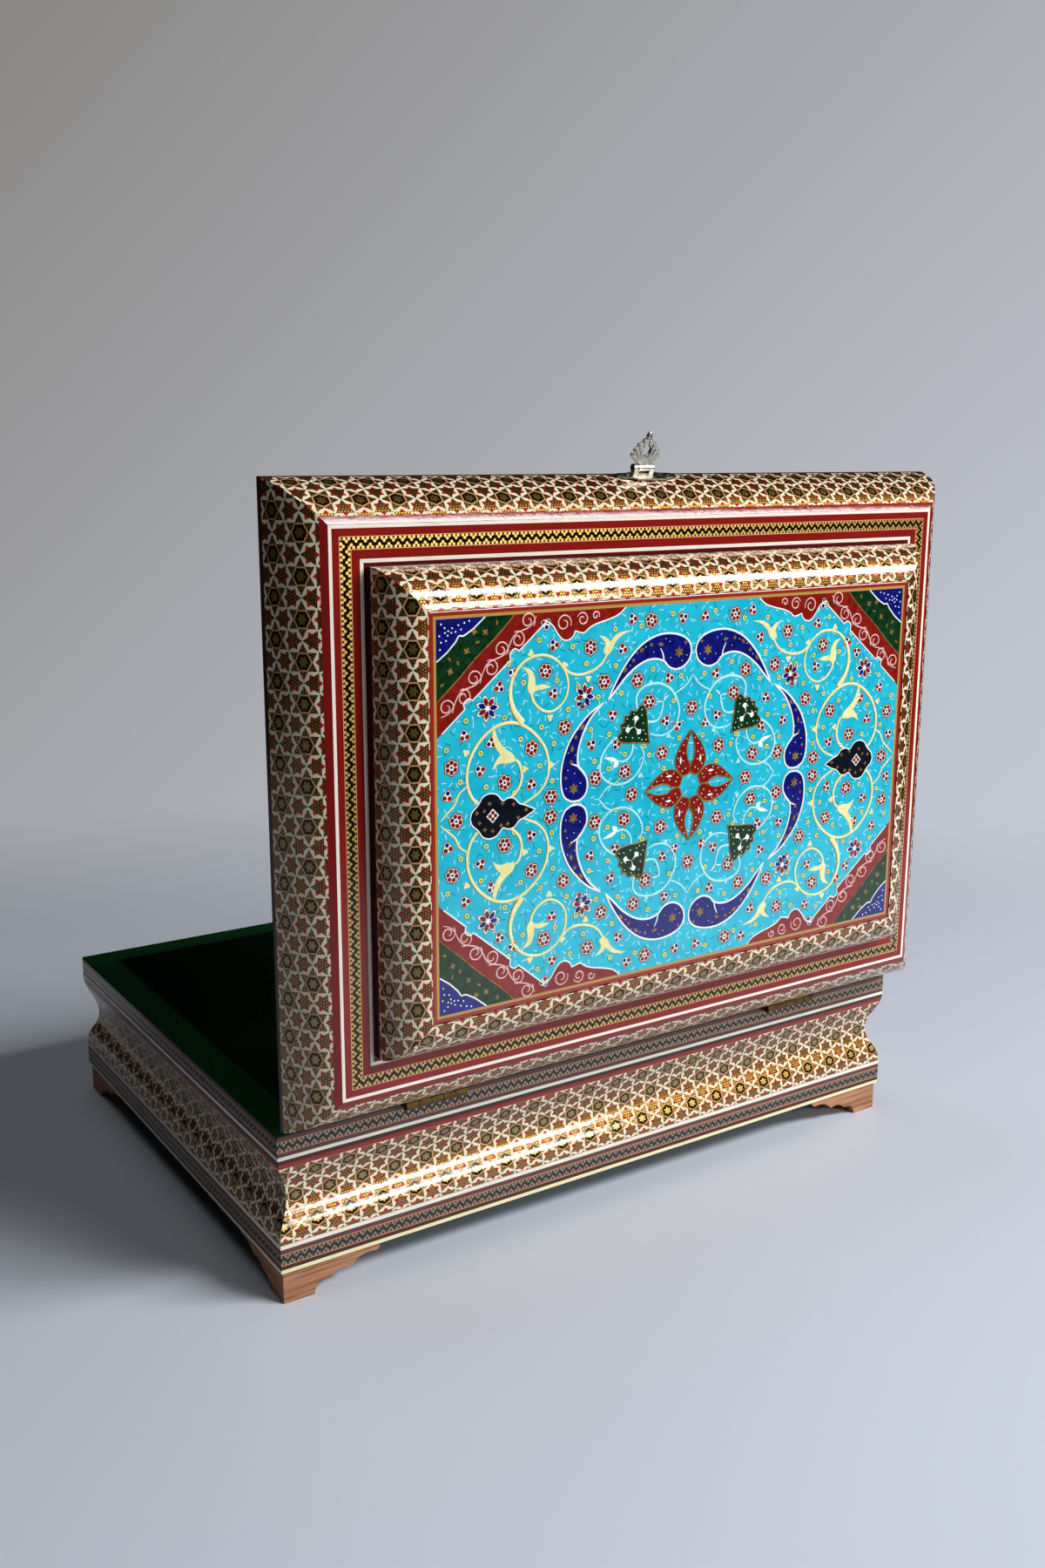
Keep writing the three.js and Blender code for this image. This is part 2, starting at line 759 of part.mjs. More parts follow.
function addBase() {
  const hingeCuts = Object.values(hingePlaces).flatMap((x) => [
    forBase(leafSeat()).translate(x, 0, 0),
    ...[-1, 1].map((side) => forBase(leafNailHole(side)).translate(x, 0, 0)),
  ]);
  const catchCuts = [-1, 1].map((side) => onBaseFront(catchNailHole(side)));
  const cuts = { front: catchCuts, back: hingeCuts, left: [], right: [] };
  for (const side of Object.keys(sides)) {
    const wall = mitredMoulding(wallSection(), side);
    const topBand = mitredMoulding(bandSection(coveTop, topBandHeight), side);
    const lowBand = mitredMoulding(bandSection(footHeight, lowBandHeight), side);
    add(base, `wall_${side}`, carve(wall, ...cuts[side]), 'inlay');
    add(base, `top_band_${side}`, carve(topBand, ...cuts[side]), 'stripes');
    add(base, `low_band_${side}`, lowBand, 'stripes');
  }
  const boardInset = wallThickness - bottomRebateDepth + glueLine;
  const boardTop = footHeight + bottomThickness;
  add(base, 'bottom_board', board(boardInset, footHeight, bottomThickness), 'plywood');
  add(base, 'under_felt', underFelt(), 'felt');
  const floorBottom = boardTop + 2 * glueLine;
  const tray = liningTray(floorBottom, rimHeight, floorBottom, floorBottom + floorPadThickness);
  add(base, 'well_lining', tray, 'velvet');
  const felt = flatFrame(0, wallThickness, wallTop + glueLine, rimFeltThickness);
  const seats = Object.values(hingePlaces).map((x) => forBase(leafSeat()).translate(x, 0, 0));
  add(base, 'rim_felt', carve(felt, ...seats), 'felt');
  for (const [name, corner] of Object.entries(corners)) {
    add(base, `foot_${name}`, placedFoot(corner), 'footWood');
  }
  addBaseHardware();
}

function addBaseHardware() {
  for (const [name, x] of Object.entries(hingePlaces)) {
    const leaf = forBase(hingeLeaf(0)).translate(x, 0, 0);
    const pin = forBase(rodAlongX(hingePinRadius, hingeLength)).translate(x, 0, 0);
    add(base, `hinge_leaf_base_${name}`, leaf, 'brass');
    add(base, `hinge_pin_${name}`, pin, 'brass');
    for (const [end, side] of [['a', -1], ['b', 1]]) {
      const nail = forBase(leafNail(side)).translate(x, 0, 0);
      add(base, `hinge_nail_base_${name}_${end}`, nail, 'brass');
    }
  }
  add(base, 'catch_plate', onBaseFront(catchPlate()), 'whiteMetal');
  add(base, 'catch_nail_left', onBaseFront(catchNail(-1)), 'whiteMetal');
  add(base, 'catch_nail_right', onBaseFront(catchNail(1)), 'whiteMetal');
}

function addLid() {
  const hingeCuts = Object.values(hingePlaces).flatMap((x) => [
    forLid(leafSeat()).translate(x, 0, 0),
    ...[-1, 1].map((side) => forLid(leafNailHole(side)).translate(x, 0, 0)),
  ]);
  const claspCuts = [-1, 1].map((side) => onLidFront(claspNailHole(side)));
  const cuts = { front: claspCuts, back: hingeCuts, left: [], right: [] };
  for (const side of Object.keys(sides)) {
    const rail = mitredMoulding(lidRailSection(), side);
    add(lid, `lid_rail_${side}`, carve(rail, ...cuts[side]), 'inlay');
    add(lid, `ledge_${side}`, mitredMoulding(ledgeSection(), side), 'redStripes');
    add(lid, `crown_rail_${side}`, mitredMoulding(crownSection(), side), 'inlay');
  }
  const boardInset = wallThickness + glueLine;
  const groundBottom = lidBoardTop + glueLine;
  const groundThickness = crownTop - panelThickness - glueLine - groundBottom;
  add(lid, 'lid_board', board(boardInset, lidBoardBottom, lidBoardThickness), 'plywood');
  add(lid, 'crown_ground', board(panelInset, groundBottom, groundThickness), 'softwood');
  const panel = board(panelInset, crownTop - panelThickness, panelThickness);
  add(lid, 'painted_panel', panel, 'paint');
  const liningTop = lidBoardBottom - glueLine;
  const tray = liningTray(0, liningTop, liningTop - liningThickness, liningTop);
  add(lid, 'lid_lining', tray, 'velvet');
  const felt = flatFrame(0, wallThickness, 0, rimFeltThickness);
  const seats = Object.values(hingePlaces).map((x) => forLid(leafSeat()).translate(x, 0, 0));
  add(lid, 'lid_felt', carve(felt, ...seats), 'felt');
  addLidHardware();
}

function addLidHardware() {
  for (const [name, x] of Object.entries(hingePlaces)) {
    const leaf = forLid(hingeLeaf(1)).translate(x, 0, 0);
    add(lid, `hinge_leaf_lid_${name}`, leaf, 'brass');
    for (const [end, side] of [['a', -1], ['b', 1]]) {
      const nail = forLid(leafNail(side)).translate(x, 0, 0);
      add(lid, `hinge_nail_lid_${name}_${end}`, nail, 'brass');
    }
  }
  const pin = rodAlongX(haspPinRadius, claspBarrelLength);
  add(lid, 'clasp_plate', onLidFront(claspPlate()), 'whiteMetal');
  add(lid, 'hasp_pin', onLidFront(pin), 'whiteMetal');
  add(lid, 'clasp_nail_left', onLidFront(claspNail(-1)), 'whiteMetal');
  add(lid, 'clasp_nail_right', onLidFront(claspNail(1)), 'whiteMetal');
  add(lid, 'hasp', onLidFront(hasp()), 'whiteMetal');
}

addBase();
addLid();

export default group;
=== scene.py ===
import math

import bpy
import numpy as np
from mathutils import Matrix, Vector


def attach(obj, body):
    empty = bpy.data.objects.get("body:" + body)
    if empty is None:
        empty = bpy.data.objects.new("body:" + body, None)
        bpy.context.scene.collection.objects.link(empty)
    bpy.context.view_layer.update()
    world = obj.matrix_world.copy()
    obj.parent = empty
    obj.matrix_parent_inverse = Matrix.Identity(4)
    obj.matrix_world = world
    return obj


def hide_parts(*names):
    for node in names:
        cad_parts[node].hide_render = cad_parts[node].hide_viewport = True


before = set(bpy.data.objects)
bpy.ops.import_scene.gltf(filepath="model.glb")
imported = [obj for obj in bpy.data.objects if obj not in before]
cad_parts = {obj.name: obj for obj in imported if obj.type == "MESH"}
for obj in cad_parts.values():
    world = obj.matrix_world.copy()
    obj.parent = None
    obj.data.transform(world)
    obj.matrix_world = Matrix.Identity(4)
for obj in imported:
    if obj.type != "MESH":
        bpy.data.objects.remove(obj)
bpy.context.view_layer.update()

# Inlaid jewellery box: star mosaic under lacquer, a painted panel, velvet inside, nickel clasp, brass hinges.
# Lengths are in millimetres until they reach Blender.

MM = 0.001
ROOT3 = math.sqrt(3)

# The box as the CAD has it
HALF_LENGTH = 145
HALF_DEPTH = 107
MITRE_GAP = 0.1
BASE_MIDDLE_Y = -16.725
LID_UNDERSIDE_Y = 93.425
LID_MIDDLE_Z = 173.75
SIDES = ("front", "right", "back", "left")
NOSE_SLIDES = {"front": 7.5, "right": 6.5, "back": 7.5, "left": 6.5}
CROWN_SLIDES = {"front": 3.3, "right": 2.6, "back": 3.3, "left": 2.6}

# Star mosaic. Its rods' ends are drawn about 1 mm apart, coarser than the real ones, so that they show.
STAR_PITCH = 12.95
ROD_PITCH = 1.05
ROD_REACH_SHARE = 0.35
MICRO_PITCH = 3.2

# The mosaic's figures, as shares of the star pitch: how far each reaches from a star, and the arrow's slope
HEXAGON_NOTCH = 0.433
TRIANGLE_TIP = 0.45
RING_TIP = 0.225
EYE_TIP = 0.19
STAR_NOTCH = 0.15
ARROW_END = 0.455
ARROW_SPREAD = 0.77
ARROW_START = -0.254

# Where a moulding's section touches a plane, and how far it steps back where it turns under
TOUCHING = 0.01
STEP_BACK = 1.5

# Lacquer: waves to the metre, their height in metres, and how strongly they bend a reflection
LACQUER_WAVES = 260
LACQUER_RELIEF = 0.0006
INLAY_UNEVENNESS = 0.1
PAINT_UNEVENNESS = 0.02

# Velvet and felt
LINING_LENGTH = 263
LINING_DEPTH = 187
WELL_BOTTOM = 17.9
RIM_HEIGHT = 63.6
LID_HOLLOW = 10.9
VELVET_THICKNESS = 1.05
VELVET_CORNER = 2.6
FELT_SOFT_EDGE = 0.2

# Camera in metres, fitted to the box's corners in the photograph
CAMERA_PLACE = (0.32593, 0.514515, 0.28793)
CAMERA_RIGHT = (-0.835347, 0.549717, 0.002679)
CAMERA_UP = (-0.119148, -0.18581, 0.975335)
CAMERA_BACK = (0.536656, 0.814424, 0.220714)
CAMERA_LENS = 33.65
CAMERA_SENSOR = 36

# Table in metres. It fades out between these distances from the point below the camera, and between these
# places behind the box, where a bright table would veil the panel.
TABLE_RADIUS = 2.5
BELOW_CAMERA = (0.33, 0.51, 0)
TABLE_FADE = (0.85, 1.25)
FADE_BEHIND_BOX = (0.36, 0.7)
ROOM_LIGHT = 0.014

# Shader node kinds, shortened
MATH = "ShaderNodeMath"
VECTOR = "ShaderNodeVectorMath"
MIX = "ShaderNodeMix"
RAMP = "ShaderNodeValToRGB"
NOISE = "ShaderNodeTexNoise"
VORONOI = "ShaderNodeTexVoronoi"
MAPPING = "ShaderNodeMapping"
BUMP = "ShaderNodeBump"


# Camera

def place_camera():
    """Stands the camera where the photograph was taken from."""
    data = bpy.data.cameras.new("camera")
    data.lens = CAMERA_LENS
    data.sensor_width = CAMERA_SENSOR
    camera = bpy.data.objects.new("camera", data)
    turn = Matrix((CAMERA_RIGHT, CAMERA_UP, CAMERA_BACK)).transposed().to_4x4()
    camera.matrix_world = Matrix.Translation(CAMERA_PLACE) @ turn
    bpy.context.scene.collection.objects.link(camera)
    bpy.context.scene.camera = camera


# Materials

def colour(code):
    """A hex sRGB colour as linear RGBA."""
    parts = [int(code[i:i + 2], 16) / 255 for i in (1, 3, 5)]
    linear = [c / 12.92 if c <= 0.04045 else ((c + 0.055) / 1.055) ** 2.4 for c in parts]
    return (*linear, 1)


def output_of(value):
    """A node stands for its first output in use."""
    if isinstance(value, bpy.types.Node):
        return next(output for output in value.outputs if output.enabled)
    return value


def node(tree, kind, *values, named=None, **settings):
    """Adds a node. Values fill its inputs in order, and a value may be a number, a socket or a node."""
    new = tree.nodes.new(kind)
    for name, value in settings.items():
        setattr(new, name, value)
    inputs = [socket for socket in new.inputs if socket.enabled]
    filled = list(zip(inputs, values)) + [(new.inputs[key], value) for key, value in (named or {}).items()]
    for socket, value in filled:
        value = output_of(value)
        if isinstance(value, bpy.types.NodeSocket):
            tree.links.new(value, socket)
        elif value is not None:
            socket.default_value = value
    return new


def new_material(name, **shader_values):
    """A material with a bare principled shader, whose constants are given here."""
    material = bpy.data.materials.new(name)
    material.use_nodes = True
    tree = material.node_tree
    shader = tree.nodes["Principled BSDF"]
    for key, value in shader_values.items():
        shader.inputs[key.replace("_", " ")].default_value = value
    return material, tree, shader


def set_stops(ramp, stops, interpolation="LINEAR"):
    """Colour stops of a ramp, as (position, hex colour)."""
    band = ramp.color_ramp
    band.interpolation = interpolation
    while len(band.elements) > 1:
        band.elements.remove(band.elements[-1])
    for index, (position, code) in enumerate(stops):
        element = band.elements[0] if index == 0 else band.elements.new(position)
        element.position = position
        element.color = colour(code)


def nearest_on_lattice(tree, place):
    """The way from the nearest point of a triangular lattice of pitch 1, rows along u."""
    far = (0.5, ROOT3 / 2, 0)
    near = (-0.5, -ROOT3 / 2, 0)
    one = node(tree, VECTOR, place, far, near, operation="WRAP")
    shifted = node(tree, VECTOR, place, far, operation="SUBTRACT")
    other = node(tree, VECTOR, shifted, far, near, operation="WRAP")
    one_reach = node(tree, VECTOR, one, operation="LENGTH")
    other_reach = node(tree, VECTOR, other, operation="LENGTH")
    other_is_nearer = node(tree, MATH, one_reach, other_reach, operation="GREATER_THAN")
    return node(tree, MIX, other_is_nearer, one, other, data_type="VECTOR")


def star_places(tree, place):
    """How far a point lies along and across its star's nearest tip, and the same for the nearest notch."""
    star = node(tree, VECTOR, nearest_on_lattice(tree, place), operation="ABSOLUTE")
    level_tip = node(tree, VECTOR, star, (1, 0, 0), operation="DOT_PRODUCT")
    steep_tip = node(tree, VECTOR, star, (0.5, ROOT3 / 2, 0), operation="DOT_PRODUCT")
    along = node(tree, MATH, level_tip, steep_tip, operation="MAXIMUM")
    reach_squared = node(tree, VECTOR, star, star, operation="DOT_PRODUCT")
    along_squared = node(tree, MATH, along, along, operation="MULTIPLY")
    across_squared = node(tree, MATH, reach_squared, along_squared, operation="SUBTRACT")
    across = node(tree, MATH, node(tree, MATH, across_squared, 0, operation="MAXIMUM"), operation="SQRT")
    half_across = node(tree, MATH, across, 0.5, operation="MULTIPLY")
    notch_along = node(tree, MATH, along, ROOT3 / 2, half_across, operation="MULTIPLY_ADD")
    half_along = node(tree, MATH, along, 0.5, operation="MULTIPLY")
    notch_across = node(tree, MATH, across, -ROOT3 / 2, half_along, operation="MULTIPLY_ADD")
    return along, across, notch_along, notch_across


def pointed(tree, ahead, aside, spread, reach):
    """Where a wedge lies: ahead plus spread times aside is below reach."""
    edge = node(tree, MATH, aside, spread, ahead, operation="MULTIPLY_ADD")
    return node(tree, MATH, edge, reach, operation="LESS_THAN")


def rod_ends(tree, inlay_map, pitch, size):
    """The ends of fine round rods, as the triangles of khatam show them, on a tight lattice."""
    place = node(tree, VECTOR, inlay_map, operation="SCALE", named={"Scale": 1 / pitch})
    reach = node(tree, VECTOR, nearest_on_lattice(tree, place), operation="LENGTH")
    return node(tree, MATH, reach, size, operation="LESS_THAN")


def star_mosaic(tree, inlay_map, row_spacing, first_row):
    """Colour of the star mosaic, and where it is brass. The map is in millimetres, and so is the spacing."""
    scale = (1 / STAR_PITCH, ROOT3 / 2 / row_spacing, 1)
    shift = (0, -first_row * scale[1], 0)
    place = node(tree, MAPPING, inlay_map, shift, (0, 0, 0), scale, vector_type="POINT")
    along, across, notch_along, notch_across = star_places(tree, place)

    ends = rod_ends(tree, inlay_map, ROD_PITCH, ROD_REACH_SHARE)
    shade = node(tree, NOISE, inlay_map, named={"Scale": 0.35, "Detail": 2})
    ground = node(tree, RAMP, shade.outputs["Fac"])
    set_stops(ground, [(0.35, "#2c160c"), (0.65, "#4a2715")])
    brass = node(tree, MIX, ends, ground.outputs["Color"], colour("#a8813c"), data_type="RGBA")

    in_hexagon = node(tree, MATH, notch_along, HEXAGON_NOTCH, operation="LESS_THAN")
    in_triangle = pointed(tree, along, across, ROOT3, TRIANGLE_TIP)
    in_ring = node(tree, MATH, along, RING_TIP, operation="LESS_THAN")
    in_eye = node(tree, MATH, along, EYE_TIP, operation="LESS_THAN")
    in_star = pointed(tree, notch_along, notch_across, ROOT3, STAR_NOTCH)
    near_side = node(tree, MATH, notch_along, ARROW_END, operation="LESS_THAN")
    arrow_half = node(tree, MATH, notch_along, ARROW_SPREAD, ARROW_START, operation="MULTIPLY_ADD")
    within_arrow = node(tree, MATH, notch_across, arrow_half, operation="LESS_THAN")
    in_arrow = node(tree, MATH, near_side, within_arrow, operation="MULTIPLY")

    tone = brass
    for mask, code in (
        (in_hexagon, "#e8dcbe"),
        (in_arrow, "#a02414"),
    ):
        tone = node(tree, MIX, mask, tone, colour(code), data_type="RGBA")
    tone = node(tree, MIX, in_triangle, tone, brass, data_type="RGBA")
    for mask, code in (
        (in_ring, "#cd9a64"),
        (in_eye, "#1a100a"),
        (in_star, "#9c8040"),
    ):
        tone = node(tree, MIX, mask, tone, colour(code), data_type="RGBA")

    out_of_hexagon = node(tree, MATH, 1, in_hexagon, operation="SUBTRACT")
    rods_show = node(tree, MATH, out_of_hexagon, in_triangle, operation="MAXIMUM")
    out_of_ring = node(tree, MATH, 1, in_ring, operation="SUBTRACT")
    rods_show = node(tree, MATH, rods_show, out_of_ring, operation="MULTIPLY")
    rods = node(tree, MATH, rods_show, ends, operation="MULTIPLY")
    metal = node(tree, MATH, rods, in_star, operation="MAXIMUM")
    return tone, metal


def micro_mosaic(tree, inlay_map, middle, ground, light):
    """A narrow run of brass trefoils. They stand on both edges in turn and point to the middle."""
    parts = node(tree, "ShaderNodeSeparateXYZ", inlay_map)
    above_middle = node(tree, MATH, parts.outputs["Y"], middle, operation="SUBTRACT")
    upper = node(tree, MATH, above_middle, 0, operation="GREATER_THAN")
    slid = node(tree, MATH, upper, MICRO_PITCH / 2, parts.outputs["X"], operation="MULTIPLY_ADD")
    aside = node(tree, MATH, slid, MICRO_PITCH / 2, -MICRO_PITCH / 2, operation="WRAP")
    place = node(tree, "ShaderNodeCombineXYZ", node(tree, MATH, aside, operation="ABSOLUTE"),
                 node(tree, MATH, above_middle, operation="ABSOLUTE"))
    tip = node(tree, VECTOR, place, (0, 0.55, 0), operation="DISTANCE")
    foot = node(tree, VECTOR, place, (0.78, 1.35, 0), operation="DISTANCE")
    nearest = node(tree, MATH, tip.outputs["Value"], foot.outputs["Value"], operation="MINIMUM")
    leaf = node(tree, MATH, nearest, 0.5, operation="LESS_THAN")
    tone = node(tree, MIX, leaf, colour(ground), colour(light), data_type="RGBA")
    return tone, leaf


def stripe_stops(widths):
    """Ramp stops for stripes laid side by side, as (width in millimetres, hex colour)."""
    total = sum(width for width, code in widths)
    stops = []
    start = 0
    for width, code in widths:
        stops.append((start / total, code))
        start += width
    return stops, total


def stripes(tree, inlay_map, widths):
    """Stripes across the piece, from the map's v = 0."""
    stops, total = stripe_stops(widths)
    across = node(tree, "ShaderNodeSeparateXYZ", inlay_map).outputs["Y"]
    share = node(tree, MATH, across, total, operation="DIVIDE")
    ramp = node(tree, RAMP, share)
    set_stops(ramp, stops, "CONSTANT")
    return ramp.outputs["Color"], across


def between(tree, value, low, high):
    """Where a value lies between two limits."""
    above = node(tree, MATH, value, low, operation="GREATER_THAN")
    below = node(tree, MATH, value, high, operation="LESS_THAN")
    return node(tree, MATH, above, below, operation="MULTIPLY")


def lacquer(tree, shader, tone, metal, unevenness):
    """Clear gloss lacquer over the tone. Its unevenness is how strongly fine waves bend a reflection."""
    place = node(tree, "ShaderNodeTexCoord").outputs["Object"]
    wave = node(tree, NOISE, place, named={"Scale": LACQUER_WAVES, "Detail": 8, "Roughness": 0.65})
    height = wave.outputs["Fac"]
    skin = node(tree, BUMP, named={"Height": height, "Strength": unevenness, "Distance": LACQUER_RELIEF})
    tree.links.new(output_of(tone), shader.inputs["Base Color"])
    if metal is not None:
        tree.links.new(metal.outputs[0], shader.inputs["Metallic"])
    tree.links.new(skin.outputs["Normal"], shader.inputs["Normal"])
    tree.links.new(skin.outputs["Normal"], shader.inputs["Coat Normal"])


def inlay_material(name, widths, mosaic_from, mosaic_to, first_row, row_spacing):
    """Khatam of wood, bone and brass, sanded flush and lacquered: a crisp pattern under a wet gloss."""
    material, tree, shader = new_material(
        name, Roughness=0.38, Specular_IOR_Level=0.0, Coat_Weight=0.9, Coat_Roughness=0.05, Coat_IOR=1.5,
    )
    inlay_map = node(tree, "ShaderNodeUVMap", uv_map="inlay")
    edge, across = stripes(tree, inlay_map, widths)
    stars, brass = star_mosaic(tree, inlay_map, row_spacing, first_row)
    in_mosaic = between(tree, across, mosaic_from, mosaic_to)
    tone = node(tree, MIX, in_mosaic, edge, stars, data_type="RGBA")
    metal = node(tree, MATH, brass, in_mosaic, operation="MULTIPLY")
    lacquer(tree, shader, tone, metal, INLAY_UNEVENNESS)
    return material


def stripe_material(name, widths, micro_from, micro_to, ground, light):
    """Thin strips of dyed wood round a run of tiny mosaic, lacquered: fine lines under a softer gloss."""
    material, tree, shader = new_material(
        name, Roughness=0.4, Specular_IOR_Level=0.0, Coat_Weight=0.75, Coat_Roughness=0.06, Coat_IOR=1.5,
    )
    inlay_map = node(tree, "ShaderNodeUVMap", uv_map="inlay")
    plain, across = stripes(tree, inlay_map, widths)
    grain = node(tree, MAPPING, inlay_map, (0, 0, 0), (0, 0, 0), (0.08, 3.0, 1), vector_type="POINT")
    streak = node(tree, NOISE, grain, named={"Scale": 1.0, "Detail": 4})
    depth = node(tree, "ShaderNodeMapRange", streak.outputs["Fac"], 0.3, 0.7, 0.82, 1.1)
    plain = node(tree, "ShaderNodeHueSaturation", named={"Color": plain, "Value": depth.outputs[0]})
    stars, brass = micro_mosaic(tree, inlay_map, (micro_from + micro_to) / 2, ground, light)
    in_micro = between(tree, across, micro_from, micro_to)
    tone = node(tree, MIX, in_micro, plain, stars, data_type="RGBA")
    metal = node(tree, MATH, brass, in_micro, operation="MULTIPLY")
    lacquer(tree, shader, tone, metal, INLAY_UNEVENNESS)
    return material


# Mouldings: the CAD's shapes, smoothed, with a map in millimetres for the inlay to follow

def shut_place(points, on_lid):
    """Points measured from the middle of the box's plan, as they lie with the lid shut."""
    x, y, z = points.T / MM
    if on_lid:
        return x, LID_MIDDLE_Z - z, y - LID_UNDERSIDE_Y
    return x, y - BASE_MIDDLE_Y, z


def side_place(side, x, y):
    """How far points lie along their side of the box, inwards from its edge, and half the side's length."""
    return {
        "front": (x, y + HALF_DEPTH, HALF_LENGTH),
        "right": (y, HALF_LENGTH - x, HALF_DEPTH),
        "back": (-x, HALF_DEPTH - y, HALF_LENGTH),
        "left": (-y, x + HALF_LENGTH, HALF_DEPTH),
    }[side]


def choose_only(piece):
    """Selects one piece, because an operator acts on all that is selected."""
    bpy.ops.object.select_all(action="DESELECT")
    piece.select_set(True)
    bpy.context.view_layer.objects.active = piece


def own_copy(node_name, piece_name):
    """A copy of a CAD node's shape with its doubled points merged."""
    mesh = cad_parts[node_name].data.copy()
    piece = bpy.data.objects.new(piece_name, mesh)
    bpy.context.scene.collection.objects.link(piece)
    choose_only(piece)
    bpy.ops.object.mode_set(mode="EDIT")
    bpy.ops.mesh.select_all(action="SELECT")
    bpy.ops.mesh.remove_doubles(threshold=0.000002)
    bpy.ops.object.mode_set(mode="OBJECT")
    if mesh.has_custom_normals:
        bpy.ops.mesh.customdata_custom_splitnormals_clear()
    bpy.ops.object.shade_smooth_by_angle(angle=math.radians(20))
    mesh.materials.clear()
    return piece


def lay_inlay_map(piece, side, on_lid, flat, slide):
    """A map in millimetres: u along the side, v across the face that shows, from its lower or outer edge.

    The slide is where along the side a star of the first row stands.
    """
    mesh = piece.data
    points = np.empty(len(mesh.vertices) * 3)
    mesh.vertices.foreach_get("co", points)
    x, y, height = shut_place(points.reshape(-1, 3), on_lid)
    along, inset, half_run = side_place(side, x, y)
    if flat:
        across = inset - inset.min()
    else:
        at_mitre = np.abs(np.abs(along) + inset - half_run + MITRE_GAP / 2) < TOUCHING
        outermost = {}
        for level, depth in zip(np.round(height[at_mitre], 3), inset[at_mitre]):
            outermost[level] = min(depth, outermost.get(level, depth))
        levels = np.array(sorted(outermost))
        depths = np.array([outermost[level] for level in levels])
        falls_back = np.minimum.accumulate(depths[::-1])[::-1] < depths - STEP_BACK
        cove = depths[0] < TOUCHING and depths[-1] < STEP_BACK
        if not cove:
            levels = levels[~falls_back]
            depths = depths[~falls_back]
        reach = np.concatenate([[0], np.cumsum(np.hypot(np.diff(levels), np.diff(depths)))])
        across = np.interp(height, levels, reach)
    corners = np.empty(len(mesh.loops), dtype=int)
    mesh.loops.foreach_get("vertex_index", corners)
    for layer in list(mesh.uv_layers):
        mesh.uv_layers.remove(layer)
    layer = mesh.uv_layers.new(name="inlay")
    layer.data.foreach_set("uv", np.stack([along[corners] - slide, across[corners]], axis=1).ravel())


def moulding(kind, side, body, material, flat=False, slide=0.0):
    """One side of a frame or band, in the CAD's shape."""
    name = f"{kind}_{side}"
    piece = own_copy(name, f"inlaid_{name}")
    lay_inlay_map(piece, side, body == "lid", flat, slide)
    piece.data.materials.append(material)
    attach(piece, body)
    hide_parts(name)


def make_mouldings():
    """The inlaid frames and bands. Their stripes are in millimetres, from the lower or outer edge."""
    cove = inlay_material(
        "star_mosaic_on_cove",
        [(8.9, "#3a1c10"), (2.0, "#8e2320"), (28.1, "#ece6d2"), (1.9, "#8e2320"), (12, "#3a1c10")],
        mosaic_from=10.9, mosaic_to=39.0, first_row=25.9, row_spacing=9.2,
    )
    nose = inlay_material(
        "star_mosaic_on_lid_frame",
        [(1.5, "#4a2428"), (20.1, "#ece6d2"), (4, "#841a16")],
        mosaic_from=1.5, mosaic_to=21.6, first_row=6.0, row_spacing=9.7,
    )
    crown = inlay_material(
        "star_mosaic_on_raised_frame",
        [(1.0, "#5a1a18"), (2.0, "#4a2428"), (30, "#ece6d2")],
        mosaic_from=3.0, mosaic_to=40, first_row=8.0, row_spacing=9.8,
    )
    top_band = stripe_material(
        "striped_veneer_top",
        [(1.25, "#ece7d6"), (1.6, "#5b3a3c"), (0.25, "#d9935c"), (3.7, "#2c2420"), (0.25, "#d9935c"),
         (1.55, "#5b3a3c")],
        micro_from=3.1, micro_to=6.8, ground="#23242a", light="#a08a70",
    )
    low_band = stripe_material(
        "striped_veneer_bottom",
        [(1.4, "#efe4b4"), (1.5, "#42231f"), (0.35, "#d9935c"), (3.75, "#2c2420"), (0.35, "#d9935c"),
         (1.75, "#5b3a3c"), (1.5, "#ece7d6")],
        micro_from=3.25, micro_to=7.0, ground="#23242a", light="#a08a70",
    )
    ledge = stripe_material(
        "striped_red_veneer",
        [(1.1, "#efe9d8"), (2.4, "#841a16"), (0.25, "#dfa878"), (3.6, "#16100a"), (0.25, "#dfa878"),
         (2.8, "#841a16"), (1.2, "#efe9d8"), (1.3, "#5a1210")],
        micro_from=3.75, micro_to=7.35, ground="#16100a", light="#d8b060",
    )
    for side in SIDES:
        moulding("wall", side, "base", cove, slide=5.8)
        moulding("top_band", side, "base", top_band)
        moulding("low_band", side, "base", low_band)
        moulding("lid_rail", side, "lid", nose, slide=NOSE_SLIDES[side])
        moulding("ledge", side, "lid", ledge, flat=True)
        moulding("crown_rail", side, "lid", crown, slide=CROWN_SLIDES[side])


# Plain materials

def wood_material(name, dark, light, along, across, roughness):
    """Open-grained wood: long streaks and short pores along the grain. Scales are per metre."""
    material, tree, shader = new_material(name, Roughness=roughness)
    place = node(tree, "ShaderNodeTexCoord").outputs["Object"]
    grain = node(tree, MAPPING, place, (0, 0, 0), (0, 0, 0), (along, along, across), vector_type="POINT")
    streak = node(tree, NOISE, grain, named={"Scale": 1.0, "Detail": 6, "Roughness": 0.65})
    tone = node(tree, RAMP, streak.outputs["Fac"])
    set_stops(tone, [(0.32, dark), (0.68, light)])
    tree.links.new(tone.outputs["Color"], shader.inputs["Base Color"])
    pores = node(tree, BUMP, named={"Height": streak.outputs["Fac"], "Strength": 0.35, "Distance": 0.0004})
    tree.links.new(pores.outputs["Normal"], shader.inputs["Normal"])
    return material


